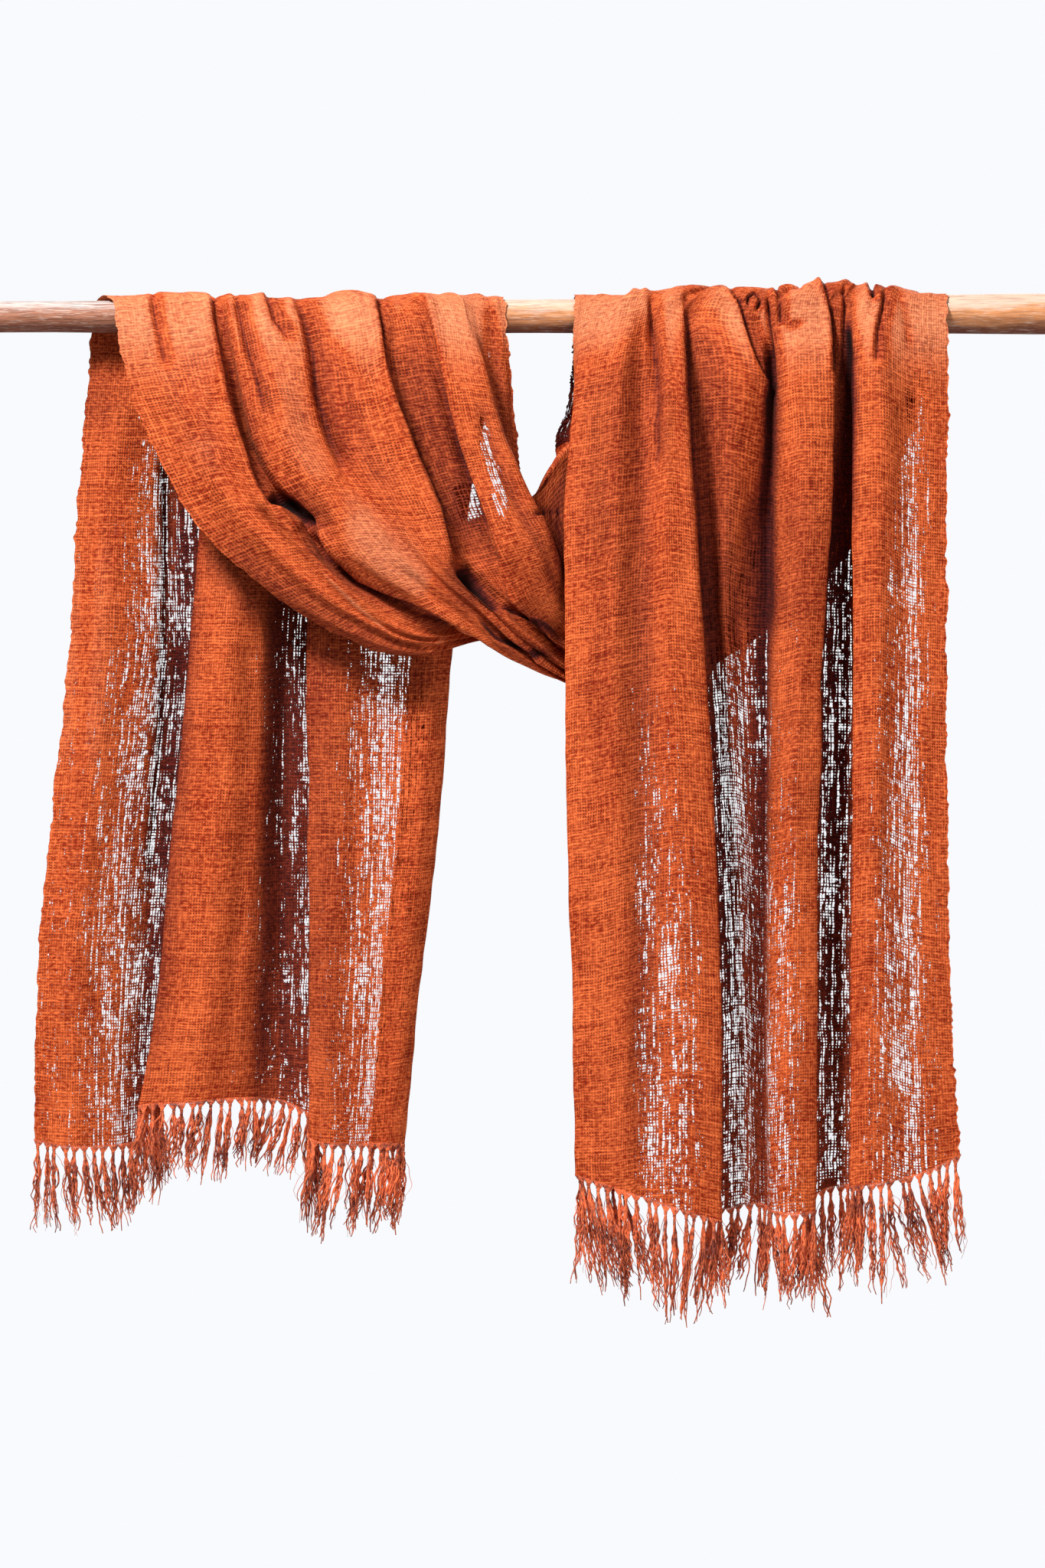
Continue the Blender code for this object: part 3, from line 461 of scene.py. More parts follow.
# Creases end at this depth in metres, and fade out over this distance in front of it. A stretch that comes
# nowhere forward of the rod's middle by as much has its creases all over.
FRONT_END = 0.012
FRONT_FADE = 0.008

# The selvedges, looped and uneven where the yarns turn: height and length of their waves and their small
# knobs, how rare the knobs are, and how far in from the edge all this reaches. Each edge has its own seed.
EDGE_WAVES = ((1.0, 3.4), (1.3, 14))
EDGE_KNOBS = (4.0, 6)
KNOB_RARITY = 0.45
EDGE_REACH = 3.5
EDGE_SEEDS = (31, 32)

# The weave runs along the cloth by this share with the mean of its rows, and by the rest with each row.
WEAVE_EVEN = 0.4


def smooth(t):
    """Eases in and out from 0 to 1."""
    return t * t * (3 - 2 * t)


def rows(table):
    return np.array(list(table.values()), float)


def rod_at(across):
    """The rod's radius and height there, in millimetres."""
    along = [place["across"] for place in ROD]
    radius = [place["radius"] for place in ROD]
    height = [place["height"] for place in ROD]
    return np.interp(across, along, radius), np.interp(across, along, height)


def hermite(knots, values, slopes, at):
    """The smooth line through values at knots, read at places along it."""
    span = np.clip(np.searchsorted(knots, at) - 1, 0, len(knots) - 2)
    width = (knots[span + 1] - knots[span])[:, None]
    t = (at - knots[span])[:, None] / width
    start = values[span] * (1 + 2 * t) * (1 - t) ** 2 + slopes[span] * width * t * (1 - t) ** 2
    end = values[span + 1] * t * t * (3 - 2 * t) + slopes[span + 1] * width * t * t * (t - 1)
    return start + end


def rounded(knots, values, at):
    """Never overshoots, so that a ridge or an edge of the cloth stays where its row is."""
    h = np.diff(knots)[:, None]
    d = np.diff(values, axis=0) / h
    slopes = np.zeros_like(values)
    a, b = 2 * h[1:] + h[:-1], h[1:] + 2 * h[:-1]
    same = d[:-1] * d[1:] > 0
    left = np.where(same, d[:-1], 1)
    right = np.where(same, d[1:], 1)
    slopes[1:-1] = np.where(same, (a + b) / (a / left + b / right), 0)
    slopes[0], slopes[-1] = d[0], d[-1]
    return hermite(knots, values, slopes, at)


def flowing(knots, values, at):
    """A fold's own line along the cloth."""
    h = np.diff(knots)[:, None]
    d = np.diff(values, axis=0) / h
    slopes = np.zeros_like(values)
    slopes[1:-1] = (d[:-1] * h[1:] + d[1:] * h[:-1]) / (h[1:] + h[:-1])
    slopes[0], slopes[-1] = d[0], d[-1]
    return hermite(knots, values, slopes, at)


def lengths(line):
    steps = np.linalg.norm(np.diff(line, axis=0), axis=1)
    return np.concatenate(([0], np.cumsum(steps)))


def share(*lines):
    """Where each row lies across the cloth, from 0 to 1, as the mean over these lines."""
    found = [lengths(line) / lengths(line)[-1] for line in lines]
    return sum(found) / len(found)


def over_rod(back, front, top):
    """The places of each row from behind the rod to just short of its front, at even angles."""
    places = []
    for step in range(CROWN_PLACES):
        turn = step / CROWN_PLACES
        ease = smooth(turn)
        across = back[:, 0] * (1 - ease) + front[:, 0] * ease
        radius, height = rod_at(across)
        near = np.abs(back[:, 1]) if turn < 0.5 else np.abs(front[:, 1])
        side = near - radius
        stand = top + (side - top) * math.cos(math.pi * turn) ** 2
        angle = math.pi * turn
        away = radius + stand
        places.append(np.stack((across, away * math.cos(angle), height + away * math.sin(angle)), -1))
    return np.stack(places, 1)


def tail_places(across, depth, heights):
    """(row, place, xyz) of a hanging end, from the rod to the hem, whose height is the last column."""
    x, hem = across[:, :-1], across[:, -1:]
    z = np.hstack((rod_at(x[:, :1])[1], np.tile(heights, (len(x), 1)), hem))
    return np.stack((x, depth, z), -1)


def cloth_places():
    """The three stretches of the cloth, each as (row, place, xyz) with where its rows lie across it."""
    across = rows(SWAG_ACROSS)
    height = np.hstack((rod_at(across[:, :1])[1], rows(SWAG_HEIGHT)))
    swag = np.stack((across, rows(SWAG_DEPTH), height), -1)
    stand_off, end_across, end_depth = rows(SWAG_ENDS).T
    finish = np.stack((end_across, end_depth, rod_at(end_across)[1]), -1)
    left = tail_places(rows(LEFT_ACROSS), rows(LEFT_DEPTH), LEFT_HEIGHTS)
    right_across, right_top = rows(RIGHT_ACROSS)[:, :-1], rows(RIGHT_ACROSS)[:, -1]
    right = tail_places(right_across, rows(RIGHT_DEPTH), RIGHT_HEIGHTS)
    swag_share = share(swag[:, 0], swag[:, 2], finish)
    left_share = share(left[:, 3], left[:, 4])
    right_share = share(right[:, 0], right[:, 3])

    start = rounded(left_share, left[:, 0], swag_share)
    crown = over_rod(start, swag[:, 0], stand_off)
    foot = swag[:, -1]
    rise = []
    for turn in RISE_TURNS:
        angle = turn * math.pi / 2
        straight = foot + (finish - foot) * turn
        bowed = foot + (finish - foot) * np.array((math.sin(angle), turn, 1 - math.cos(angle)))
        rise.append(straight + (bowed - straight) * RISE_BOW)
    swag = np.concatenate((crown, swag, np.stack(rise, 1), finish[:, None]), 1)

    behind = rounded(swag_share, finish, (1 - right_share)[::-1])[::-1]
    crown = over_rod(behind, right[:, 0], right_top)
    right = np.concatenate((crown, right), 1)
    return (left, left_share), (swag, swag_share), (right, right_share)


def places_along(places):
    """How far along the cloth each column lies, as the mean of its rows."""
    steps = np.linalg.norm(np.diff(places, axis=1), axis=2).mean(axis=0)
    return np.concatenate(([0], np.cumsum(steps)))


def surface(places, across, u, v):
    """Points of the cloth at u across it, from 0 to 1, and v millimetres along it, in metres."""
    knots = places_along(places)
    lines = np.stack([flowing(knots, row, v) for row in places], 0)
    columns = [rounded(across, lines[:, i], u) for i in range(len(v))]
    return np.stack(columns, 1) * MM


def value_noise(seed, x, y, cell):
    """Smooth noise from -1 to 1 at points x, y, in cells of this size, from a table that repeats."""
    n = 64
    table = np.random.default_rng(seed).uniform(-1, 1, (n, n))
    i, j = np.floor(x / cell[0]).astype(int), np.floor(y / cell[1]).astype(int)
    s, t = smooth(x / cell[0] - i), smooth(y / cell[1] - j)
    low, high = (table[i % n, k % n] * (1 - s) + table[(i + 1) % n, k % n] * s for k in (j, j + 1))
    return low * (1 - t) + high * t


def uneven(kind, x, y):
    """One kind of unevenness over the cloth."""
    height, cell, seed = kind
    return height * value_noise(seed, x, y, cell)


def band(height, middle, reach):
    """From 1 at this height to 0 a few reaches away."""
    return np.exp(-(((height - middle) / reach) ** 2))


def normals(points):
    """Unit normals of a grid of points, towards the side of the cloth that faces front."""
    found = -np.cross(np.gradient(points, axis=0), np.gradient(points, axis=1))
    return found / np.linalg.norm(found, axis=2)[:, :, None]


def even(knots, step):
    """Places from the first knot to the last, about a step apart, with every knot kept."""
    found = [knots[0]]
    for a, b in zip(knots[:-1], knots[1:]):
        steps = max(round((b - a) / step), 1)
        found += [a + (b - a) * (i + 1) / steps for i in range(steps)]
    return np.array(found)


def gathered(x, y):
    """Fine gathers along the swag and the rise, as a lift in millimetres. They deepen where it is bunched."""
    along, depths, backs = np.transpose(GATHERS)
    turn = 2 * math.pi * (x / GATHER_WIDTH + uneven(GATHER_DRIFT, x, y))
    height = np.interp(y, along, depths) * (1 + uneven(GATHER_VARIES, x, y))
    return height * np.sin(turn) - np.interp(y, along, backs)


def near_line(x, y, line, width, steep=1.0):
    """From 1 on a line through these places to 0 a few widths away. It fades at both ends.

    Where steep is less than 1, it falls off faster on the right of the way along the line."""
    nearest = np.full(x.shape, np.inf)
    reach = nearest
    place = np.zeros(x.shape)
    done = 0.0
    for (x0, y0), (x1, y1) in zip(line[:-1], line[1:]):
        dx, dy = x1 - x0, y1 - y0
        t = np.clip(((x - x0) * dx + (y - y0) * dy) / (dx * dx + dy * dy), 0, 1)
        away = np.hypot(x - x0 - t * dx, y - y0 - t * dy)
        side = np.where(dx * (y - y0) > dy * (x - x0), away, away / steep)
        place = np.where(away < nearest, done + t * math.hypot(dx, dy), place)
        reach = np.where(away < nearest, side, reach)
        nearest = np.minimum(nearest, away)
        done += math.hypot(dx, dy)
    fade = np.clip(np.minimum(place, done - place) / (CREASE_FADE * done), 0, 1)
    return np.exp(-((reach / width) ** 2)) * (CREASE_END + (1 - CREASE_END) * fade * (2 - fade))


def clear_of_rod(points):
    """The same points, with none nearer to the rod's surface than the cloth may come."""
    radius, height = rod_at(points[:, :, 0] / MM)
    out = points.copy()
    away = np.stack((points[:, :, 1], points[:, :, 2] - height * MM), -1)
    least = (radius + ROD_CLEAR) * MM
    out[:, :, 1:] += away * (np.maximum(least / np.linalg.norm(away, axis=2), 1) - 1)[:, :, None]
    return out


def recessed(points):
    """How far each point lies behind the cloth within reach beside it in its column, in metres."""
    depth = np.zeros(points.shape[:2])
    for j in range(points.shape[1]):
        x, y = points[:, j, 0], points[:, j, 1]
        beside = np.abs(x[:, None] - x[None]) < RECESS_REACH
        depth[:, j] = y - np.where(beside, y[None], np.inf).min(axis=1)
    return depth


def selvedge(y, seed):
    """How far in the edge lies from its even line, in millimetres, at places along the cloth."""
    long = 900
    waves = sum(height * value_noise(seed, y, y, (length, long)) for height, length in EDGE_WAVES)
    height, length = EDGE_KNOBS
    return waves - height * np.maximum(value_noise(seed + 2, y, y, (length, long)) - KNOB_RARITY, 0)


def creased(points, x, y, creases, lift):
    """The cloth with its creases and its small unevenness, the painted shade and highlights they give it, and
    how open they make it.
    """
    dark, pale, openness = np.zeros(x.shape), np.zeros(x.shape), np.zeros(x.shape)
    # Places as the camera sees them, in millimetres across and up.
    depth, height = points[:, :, 1], points[:, :, 2]
    near = CAMERA_DISTANCE / (CAMERA_DISTANCE + depth)
    across = points[:, :, 0] * near / MM
    up = ((height - CAMERA_HEIGHT) * near + CAMERA_HEIGHT) / MM
    hangs_back = depth.min() > -FRONT_END
    front = np.ones(x.shape) if hangs_back else np.clip((FRONT_END - depth) / FRONT_FADE, 0, 1)
    behind = np.clip(recessed(points) / GAP_BACK, 0, 1)
    for width, crease_lift, crease_dark, opens, *line in creases.values():
        is_tuck = crease_dark > TUCK_DARK
        there = near_line(across, up, line, width, TUCK_STEEP if is_tuck else 1) * front
        # A gap between pleats paints shade only on the cloth behind it.
        if crease_dark > 1 and not crease_lift:
            dark = np.maximum(dark, crease_dark * there * behind)
            continue
        lift = lift + crease_lift * there
        # Painted shade along the crease, and a painted highlight where its dark is below 0.
        dark = np.maximum(dark, crease_dark * there)
        pale = np.minimum(pale, crease_dark * there)
        # A tuck's ridge stands up beside it, and a painted shadow lies on its other side.
        if is_tuck:
            way = width if line[0][1] > line[-1][1] else -width
            ridge, shadow = (
                share * near_line(across + away * way, up, line, wide * width) * front
                for away, wide, share in (TUCK_RIDGE, TUCK_SHADOW)
            )
            lift = lift - crease_lift * ridge
            dark = np.maximum(dark, min(crease_dark, 1) * shadow)
        openness = np.maximum(openness, opens * np.minimum(there * OPEN_GAIN, 1))
    lift = lift + uneven(SWELLS, x, y) + uneven(PUCKERS, x, y)
    lift += band(height, *RUCK_BAND) * front * np.maximum(uneven(RUCKS, x, y), 0)
    # Painted highlights, from the paler creases and on the crown, go below 0 and lighten the shade.
    dark = dark + pale - CROWN_HIGHLIGHT_SHARE * band(height, *CROWN_HIGHLIGHT_BAND) * front * (1 - dark)
    moved = clear_of_rod(points + normals(points) * (lift * MM)[:, :, None])

    for edge, beside, from_edge, seed in ((0, 1, x, EDGE_SEEDS[0]), (-1, -2, x.max() - x, EDGE_SEEDS[1])):
        inward = points[beside] - points[edge]
        inward = inward / np.linalg.norm(inward, axis=1)[:, None]
        wobble = selvedge(y, seed) * band(from_edge, 0, EDGE_REACH)
        moved += inward[None] * (wobble * MM)[:, :, None]
    return moved, dark, openness


def arcs(points, axis):
    """How far each point of a grid lies from its first row or column, along the cloth."""
    steps = np.linalg.norm(np.diff(points, axis=axis), axis=2)
    return np.concatenate((np.zeros_like(np.take(steps, [0], axis)), np.cumsum(steps, axis)), axis)


def laid_flat(points, y):
    """Where each point lies on the cloth when flat, in metres, so that yarns keep their spacing in folds."""
    across = arcs(points, 0).mean(axis=1)[:, None] + 0 * y
    return across, WEAVE_EVEN * y * MM + (1 - WEAVE_EVEN) * arcs(points, 1)


def new_object(name, points, faces, material):
    """A smooth mesh as an object of the scene."""
    mesh = bpy.data.meshes.new(name)
    mesh.from_pydata(points.reshape(-1, 3), [], faces)
    mesh.shade_smooth()
    mesh.materials.append(material)
    obj = bpy.data.objects.new(name, mesh)
    bpy.context.scene.collection.objects.link(obj)
    return obj


def grid_mesh(name, points, x, y, weave_map, attributes, material):
    """A sheet through a grid of points, with the weave's own map in metres and a map for the whole sheet."""
    index = np.arange(x.size).reshape(x.shape)
    faces = np.stack((index[:-1, :-1], index[1:, :-1], index[1:, 1:], index[:-1, 1:]), -1).reshape(-1, 4)
    obj = new_object(name, points, faces, material)
    corner = np.empty(len(obj.data.loops), np.int32)
    obj.data.loops.foreach_get("vertex_index", corner)
    spread = max(np.ptp(x), np.ptp(y))
    maps = {"weave": weave_map, "OFBake": ((x - x.min()) / spread, (y - y.min()) / spread)}
    for label, places in maps.items():
        layer = obj.data.uv_layers.new(name=label)
        values = np.stack(places, -1).reshape(-1, 2)
        layer.data.foreach_set("uv", values[corner].astype(np.float32).ravel())
    for label, values in attributes.items():
        attribute = obj.data.attributes.new(label, "FLOAT", "POINT")
        attribute.data.foreach_set("value", values.astype(np.float32).ravel())
    return obj


def open_on_grid(table, across, u, v):
    """The weave's openness on the grid, from a table with a row for each fold."""
    values = rows(table) / 100
    columns = np.linspace(v[0], v[-1], values.shape[1])
    lines = np.stack([np.interp(v, columns, row) for row in values], 0)
    return np.stack([np.interp(u, across, lines[:, j]) for j in range(len(v))], 1)


class Nodes:
    """Short calls for building a node tree."""

    def __init__(self, name):
        self.material = bpy.data.materials.new(name)
        self.material.use_nodes = True
        self.tree = self.material.node_tree

    def put(self, socket, value):
        if isinstance(value, bpy.types.NodeSocket):
            self.tree.links.new(value, socket)
        else:
            socket.default_value = value

    def add(self, kind, out=0, settings=None, **inputs):
        """A node's output. Its inputs are called i and their number."""
        node = self.tree.nodes.new(kind)
        for key, value in (settings or {}).items():
            setattr(node, key, value)
        for key, value in inputs.items():
            self.put(node.inputs[int(key[1:])], value)
        return node.outputs[out]

    def math(self, operation, a, b=0.0, c=0.0):
        return self.add("ShaderNodeMath", 0, {"operation": operation}, i0=a, i1=b, i2=c)

    def times(self, a, b):
        return self.math("MULTIPLY", a, b)

    def minus(self, a, b):
        return self.math("SUBTRACT", a, b)

    def total(self, *parts):
        """The sum of values, each times its share."""
        found = self.times(*parts[0])
        for value, part in parts[1:]:
            found = self.math("MULTIPLY_ADD", value, part, found)
        return found

    def ramp(self, value, low, high, to_low=0.0, to_high=1.0, kind="SMOOTHSTEP"):
        settings = {"interpolation_type": kind}
        return self.add("ShaderNodeMapRange", 0, settings, i0=value, i1=low, i2=high, i3=to_low, i4=to_high)

    def straight(self, value, low, high, to_low=0.0, to_high=1.0):
        return self.ramp(value, low, high, to_low, to_high, "LINEAR")

    def noise(self, place, scale, detail=2.0, roughness=0.5):
        settings = {"noise_dimensions": "3D"}
        return self.add("ShaderNodeTexNoise", 0, settings, i0=place, i2=scale, i3=detail, i4=roughness)

    def vector(self, operation, a, b):
        return self.add("ShaderNodeVectorMath", 0, {"operation": operation}, i0=a, i1=b)

    def mix_value(self, factor, a, b):
        return self.add("ShaderNodeMix", 0, {"data_type": "FLOAT"}, i0=factor, i2=a, i3=b)

    def mix(self, factor, a, b):
        return self.add("ShaderNodeMix", 2, {"data_type": "RGBA"}, i0=factor, i6=a, i7=b)

    def bump(self, strength, distance, height):
        return self.add("ShaderNodeBump", 0, None, i0=strength, i1=distance, i3=height)

    def surface(self, inputs):
        """The finished material, with these inputs on its shader."""
        shader = self.tree.nodes["Principled BSDF"]
        for label, value in inputs.items():
            self.put(shader.inputs[label], value)
        return self.material


# The weave, in metres: the spacing of its yarns, and how far they wander.
WARP_PITCH = 0.0020
WEFT_PITCH = 0.0023
WANDER = 0.0011
# Colours of the cloth: painted shade between and on open yarns, the yarns from mid to light, a painted
# highlight, and the sheen's tint.
CLOTH_PAINTED_SHADE = (0.17, 0.016, 0.004, 1)
CLOTH_MID = (0.30, 0.019, 0.003, 1)
CLOTH_LIGHT = (0.94, 0.188, 0.050, 1)
CLOTH_PAINTED_HIGHLIGHT = (1.0, 0.40, 0.20, 1)
CLOTH_SHEEN = (1.0, 0.50, 0.28, 1)
# Painted shade in the folds, from its lightest to nearly black.
PAINTED_SHADE_LIGHT = (0.21, 0.022, 0.012, 1)
PAINTED_SHADE_MID = (0.070, 0.008, 0.007, 1)
PAINTED_SHADE_DARK = (0.03, 0.005, 0.005, 1)
PAINTED_SHADE_DEEPEST = (0.010, 0.002, 0.002, 1)


def weave():
    """An uneven plain weave. Thin places let what is behind show through between the yarns."""
    n = Nodes("open_weave_silk")
    place = n.add("ShaderNodeUVMap", 0, {"uv_map": "weave"})
    drift = n.add("ShaderNodeTexNoise", 1, {"noise_dimensions": "2D"}, i0=place, i2=55.0, i3=3.0)
    drift = n.vector("SUBTRACT", drift, (0.5, 0.5, 0.5))
    drift = n.add("ShaderNodeVectorMath", 0, {"operation": "SCALE"}, i0=drift, i3=2 * WANDER)
    place = n.vector("ADD", place, drift)
    across, along, _ = n.add("ShaderNodeSeparateXYZ", 0, None, i0=place).node.outputs
    warp = n.math("DIVIDE", across, WARP_PITCH)
    weft = n.math("DIVIDE", along, WEFT_PITCH)

    def stretched(x, y, detail=2.0):
        """Noise drawn out along one direction: x and y are its cells to the metre. It fills 0 to 1."""
        return n.straight(n.noise(n.vector("MULTIPLY", place, (x, y, 0)), 1.0, detail), 0.32, 0.68)

    def yarn(coordinate, slub):
        """Distance from the yarn's middle, from 0 to 0.5, less where the yarn is thick."""
        away = n.math("ABSOLUTE", n.minus(n.math("FRACT", coordinate), 0.5))
        return n.minus(away, n.times(n.minus(slub, 0.5), 0.26))

    warp_slub = stretched(1 / WARP_PITCH, 34)
    weft_slub = stretched(30, 1 / WEFT_PITCH)
    from_warp = yarn(warp, warp_slub)
    from_weft = yarn(weft, weft_slub)

    # Openness: painted along the folds, then broken up into streaks and dense patches.
    painted = n.add("ShaderNodeAttribute", 2, {"attribute_name": "open"})
    streaks, flecks, patches = stretched(420, 16, 4), stretched(380, 150, 4), stretched(70, 40)
    patchy = n.total((painted, 0.66), (streaks, 0.50), (flecks, 0.35), (patches, 0.15))
    openness = n.straight(patchy, 0.88, 1.18)
    # Half of a yarn's width, as a share of the spacing. It varies from cell to cell.
    half = n.math("MULTIPLY_ADD", openness, -0.50, 0.53)
    half = n.math("MULTIPLY_ADD", stretched(0.55 / WARP_PITCH, 0.55 / WEFT_PITCH), 0.28, half)
    clear = n.math("MINIMUM", n.minus(from_warp, half), n.minus(from_weft, n.minus(half, 0.05)))
    fuzzy = n.ramp(stretched(600, 600), 0.0, 0.5, 0.92, 1.0)
    hole = n.times(n.ramp(clear, -0.03, 0.05), fuzzy)

    # Over and under: the yarn on top stands up and is lit, and the spaces between get painted shade, as dark
    # dots.
    swap = n.times(n.math("SINE", n.times(warp, math.pi)), n.math("SINE", n.times(weft, math.pi)))
    over_warp = n.times(n.ramp(from_warp, 0.48, 0.05), n.math("MULTIPLY_ADD", swap, 0.25, 0.75))
    over_weft = n.times(n.ramp(from_weft, 0.48, 0.05), n.math("MULTIPLY_ADD", swap, -0.25, 0.75))
    height = n.math("MAXIMUM", over_warp, over_weft)
    on_top = n.mix_value(n.ramp(n.minus(over_warp, over_weft), -0.3, 0.3), weft_slub, warp_slub)
    mottle, along_warp, along_weft = stretched(300, 420, 3), stretched(34, 9, 4), stretched(9, 300, 3)
    tone = n.total((on_top, 0.16), (mottle, 0.50), (along_warp, 0.20), (along_weft, 0.18))
    body = n.mix(n.straight(tone, 0.24, 0.78), CLOTH_MID, CLOTH_LIGHT)
    # Painted shade: the yarns are darker where the weave is open.
    body = n.mix(n.times(openness, 0.35), body, CLOTH_PAINTED_SHADE)
    thin = n.ramp(stretched(90, 40, 4), 0.15, 0.85, 0.40, 0.85)
    dot = n.times(n.ramp(n.math("MINIMUM", from_warp, from_weft), 0.12, 0.34), thin)
    colour = n.mix(dot, body, CLOTH_PAINTED_SHADE)

    # Painted shade in the folds, nearly black at its darkest, and a painted highlight where it is less than
    # 0.
    shade = n.add("ShaderNodeAttribute", 2, {"attribute_name": "dark"})
    painted_fold_shade = n.mix(n.ramp(tone, 0.3, 0.8), PAINTED_SHADE_MID, PAINTED_SHADE_LIGHT)
    painted_fold_shade = n.mix(n.times(dot, 0.8), painted_fold_shade, PAINTED_SHADE_DARK)
    colour = n.mix(n.straight(shade, 0.0, 1.0), colour, painted_fold_shade)
    colour = n.mix(n.straight(shade, 0.8, 1.4), colour, PAINTED_SHADE_DEEPEST)
    # Painted highlight where the shade is below 0, the stronger on lighter yarns.
    painted_highlight = n.times(n.straight(shade, 0.0, -0.5, 0.0, 0.8), n.straight(tone, 0.2, 0.8, 0.45, 1.2))
    return n.surface(
        {
            "Base Color": n.mix(painted_highlight, colour, CLOTH_PAINTED_HIGHLIGHT),
            "Alpha": n.minus(1.0, hole),
            "Normal": n.bump(0.7, 0.0006, n.math("MULTIPLY_ADD", tone, 0.35, height)),
            "Roughness": 0.72,
            "Specular IOR Level": 0.1,
            "Sheen Weight": 0.05,
            "Sheen Roughness": 0.4,
            "Sheen Tint": CLOTH_SHEEN,
        }
    )


def yarn_fibre():
    """Loose silk yarn: darker than the cloth, fuzzy, and uneven in colour along it."""
    n = Nodes("loose_silk_yarn")
    place = n.add("ShaderNodeTexCoord", 3)
    fine = n.noise(place, 320.0, 4.0, 0.6)
    tone = n.ramp(n.total((fine, 0.6), (n.noise(place, 45.0), 0.4)), 0.36, 0.64)
    return n.surface(
        {
            "Base Color": n.mix(tone, (0.17, 0.015, 0.005, 1), (1.0, 0.20, 0.055, 1)),
            "Normal": n.bump(0.5, 0.0003, fine),
            "Roughness": 0.8,
            "Sheen Weight": 0.1,
            "Sheen Roughness": 0.5,
        }
    )


def bare_wood():
    """A peeled stick, greyer towards the left: a painted highlight above, golden brown below and painted
    shade underneath.
    """
    n = Nodes("bare_wood")
    place = n.add("ShaderNodeTexCoord", 3)

    def drawn(x, y, detail):
        """Noise drawn out along the rod: x and y are its cells to the metre, along it and around it."""
        return n.noise(n.vector("MULTIPLY", place, (x, y, y)), 1.0, detail, 0.6)

    grain, fine_grain, patches = drawn(40, 650, 5), drawn(90, 1500, 3), drawn(18, 150, 4)
    across, _, up = n.add("ShaderNodeSeparateXYZ", 0, None, i0=place).node.outputs
    left = n.ramp(across, 0.10, -0.34)
    # Patches, plus a painted highlight above and painted shade underneath, set the colour from dark through
    # golden to cream.
    patches_and_painted_light = n.math("MULTIPLY_ADD", n.minus(patches, 0.5), 0.9, n.straight(up, -0.015, 0.015))
    golden = n.mix(left, (0.80, 0.33, 0.13, 1), (0.42, 0.17, 0.10, 1))
    cream = n.mix(left, (0.78, 0.54, 0.40, 1), (0.56, 0.49, 0.46, 1))
    colour = n.mix(n.ramp(patches_and_painted_light, 0.05, 0.42), (0.19, 0.046, 0.022, 1), golden)
    colour = n.mix(n.ramp(patches_and_painted_light, 0.50, 0.80), colour, cream)
    dark_grain = n.times(n.ramp(grain, 0.54, 0.40), n.math("MULTIPLY_ADD", left, 0.35, 0.35))
    colour = n.mix(dark_grain, colour, (0.20, 0.070, 0.035, 1))
    colour = n.mix(n.ramp(fine_grain, 0.54, 0.66, 0.0, 0.45), colour, (0.86, 0.72, 0.62, 1))
    return n.surface(
        {
            "Base Color": colour,
            "Normal": n.bump(0.5, 0.0008, n.math("MULTIPLY_ADD", fine_grain, 0.5, grain)),
            "Roughness": n.ramp(grain, 0.2, 0.8, 0.5, 0.75),
            "Specular IOR Level": 0.3,
        }
    )


# Fringes, in metres: bundles of warp ends, each knotted just below the hem.
FRINGES = {
    "fringe_end_behind": {"node": "fringe_behind", "bundles": 57, "longest": 0.070, "seed": 5},
    "fringe_end_front": {"node": "fringe_front", "bundles": 61, "longest": 0.082, "seed": 8},
}
DOWN = np.array((0, 0, -1))

# The knot hangs on legs that start above the hem's edge, and a yarn is wrapped round it.
KNOT_DROP = 0.0040
LEGS = 6
LEG_ABOVE = 0.0012
LEG_SAG = 0.0008
LEG_RADIUS = 0.00055
WRAP_TURNS = 2.2
WRAP_ENDS = (-0.0013, 0.0016)
WRAP_AROUND = 0.00085
WRAP_RADIUS = 0.00078

# Below it hang the loose yarns and a few hairs. Their reach is a share of the longest.
YARNS = 9
YARN_RADIUS = 0.00076
HAIRS = 2
HAIR_RADIUS = 0.00024
MEAN_REACH = 0.88
REACH_DRIFT = 0.13
REACH_ENDS = (0.60, 1.04)
LEAN_DRIFT = 0.0065


def tube_faces(index):
    """The sides and the two ends of a tube, from its rings of point numbers."""
    after = np.roll(index, -1, axis=1)
    sides = np.stack((index[:-1], after[:-1], after[1:], index[1:]), -1).reshape(-1, 4).tolist()
    return sides + [index[0][::-1].tolist(), index[-1].tolist()]


class Tubes:
    """Gathers thin tubes into one mesh."""

    def __init__(self, sides):
        self.sides = sides
        self.points = []
        self.faces = []
        self.count = 0
        turn = np.linspace(0, 2 * math.pi, sides, endpoint=False)
        self.ring = np.stack((np.cos(turn), np.sin(turn), np.zeros(sides)), -1)

    def add(self, path, radius, patches_and_painted_light=True):
        """A tube along a path. A level one has level rings, which suits yarns that hang."""
        radius = np.broadcast_to(radius, len(path))[:, None, None]
        ring = self.ring[None]
        if not patches_and_painted_light:
            way = np.gradient(path, axis=0)
            side = np.cross(way, (0, 0, 1))
            other = np.cross(way, side)
            side, other = (line / np.linalg.norm(line, axis=1)[:, None] for line in (side, other))
            ring = ring[:, :, :1] * side[:, None] + ring[:, :, 1:2] * other[:, None]
        self.points.append((path[:, None] + ring * radius).reshape(-1, 3))
        size = len(path) * self.sides
        self.faces += tube_faces(self.count + np.arange(size).reshape(-1, self.sides))
        self.count += size


def locks(chance, bundles):
    """A slow drift from bundle to bundle, because neighbours lean together and end together."""
    return np.convolve(chance.normal(0, 1, (bundles + 4)), np.ones(5) / 2.2, "valid")


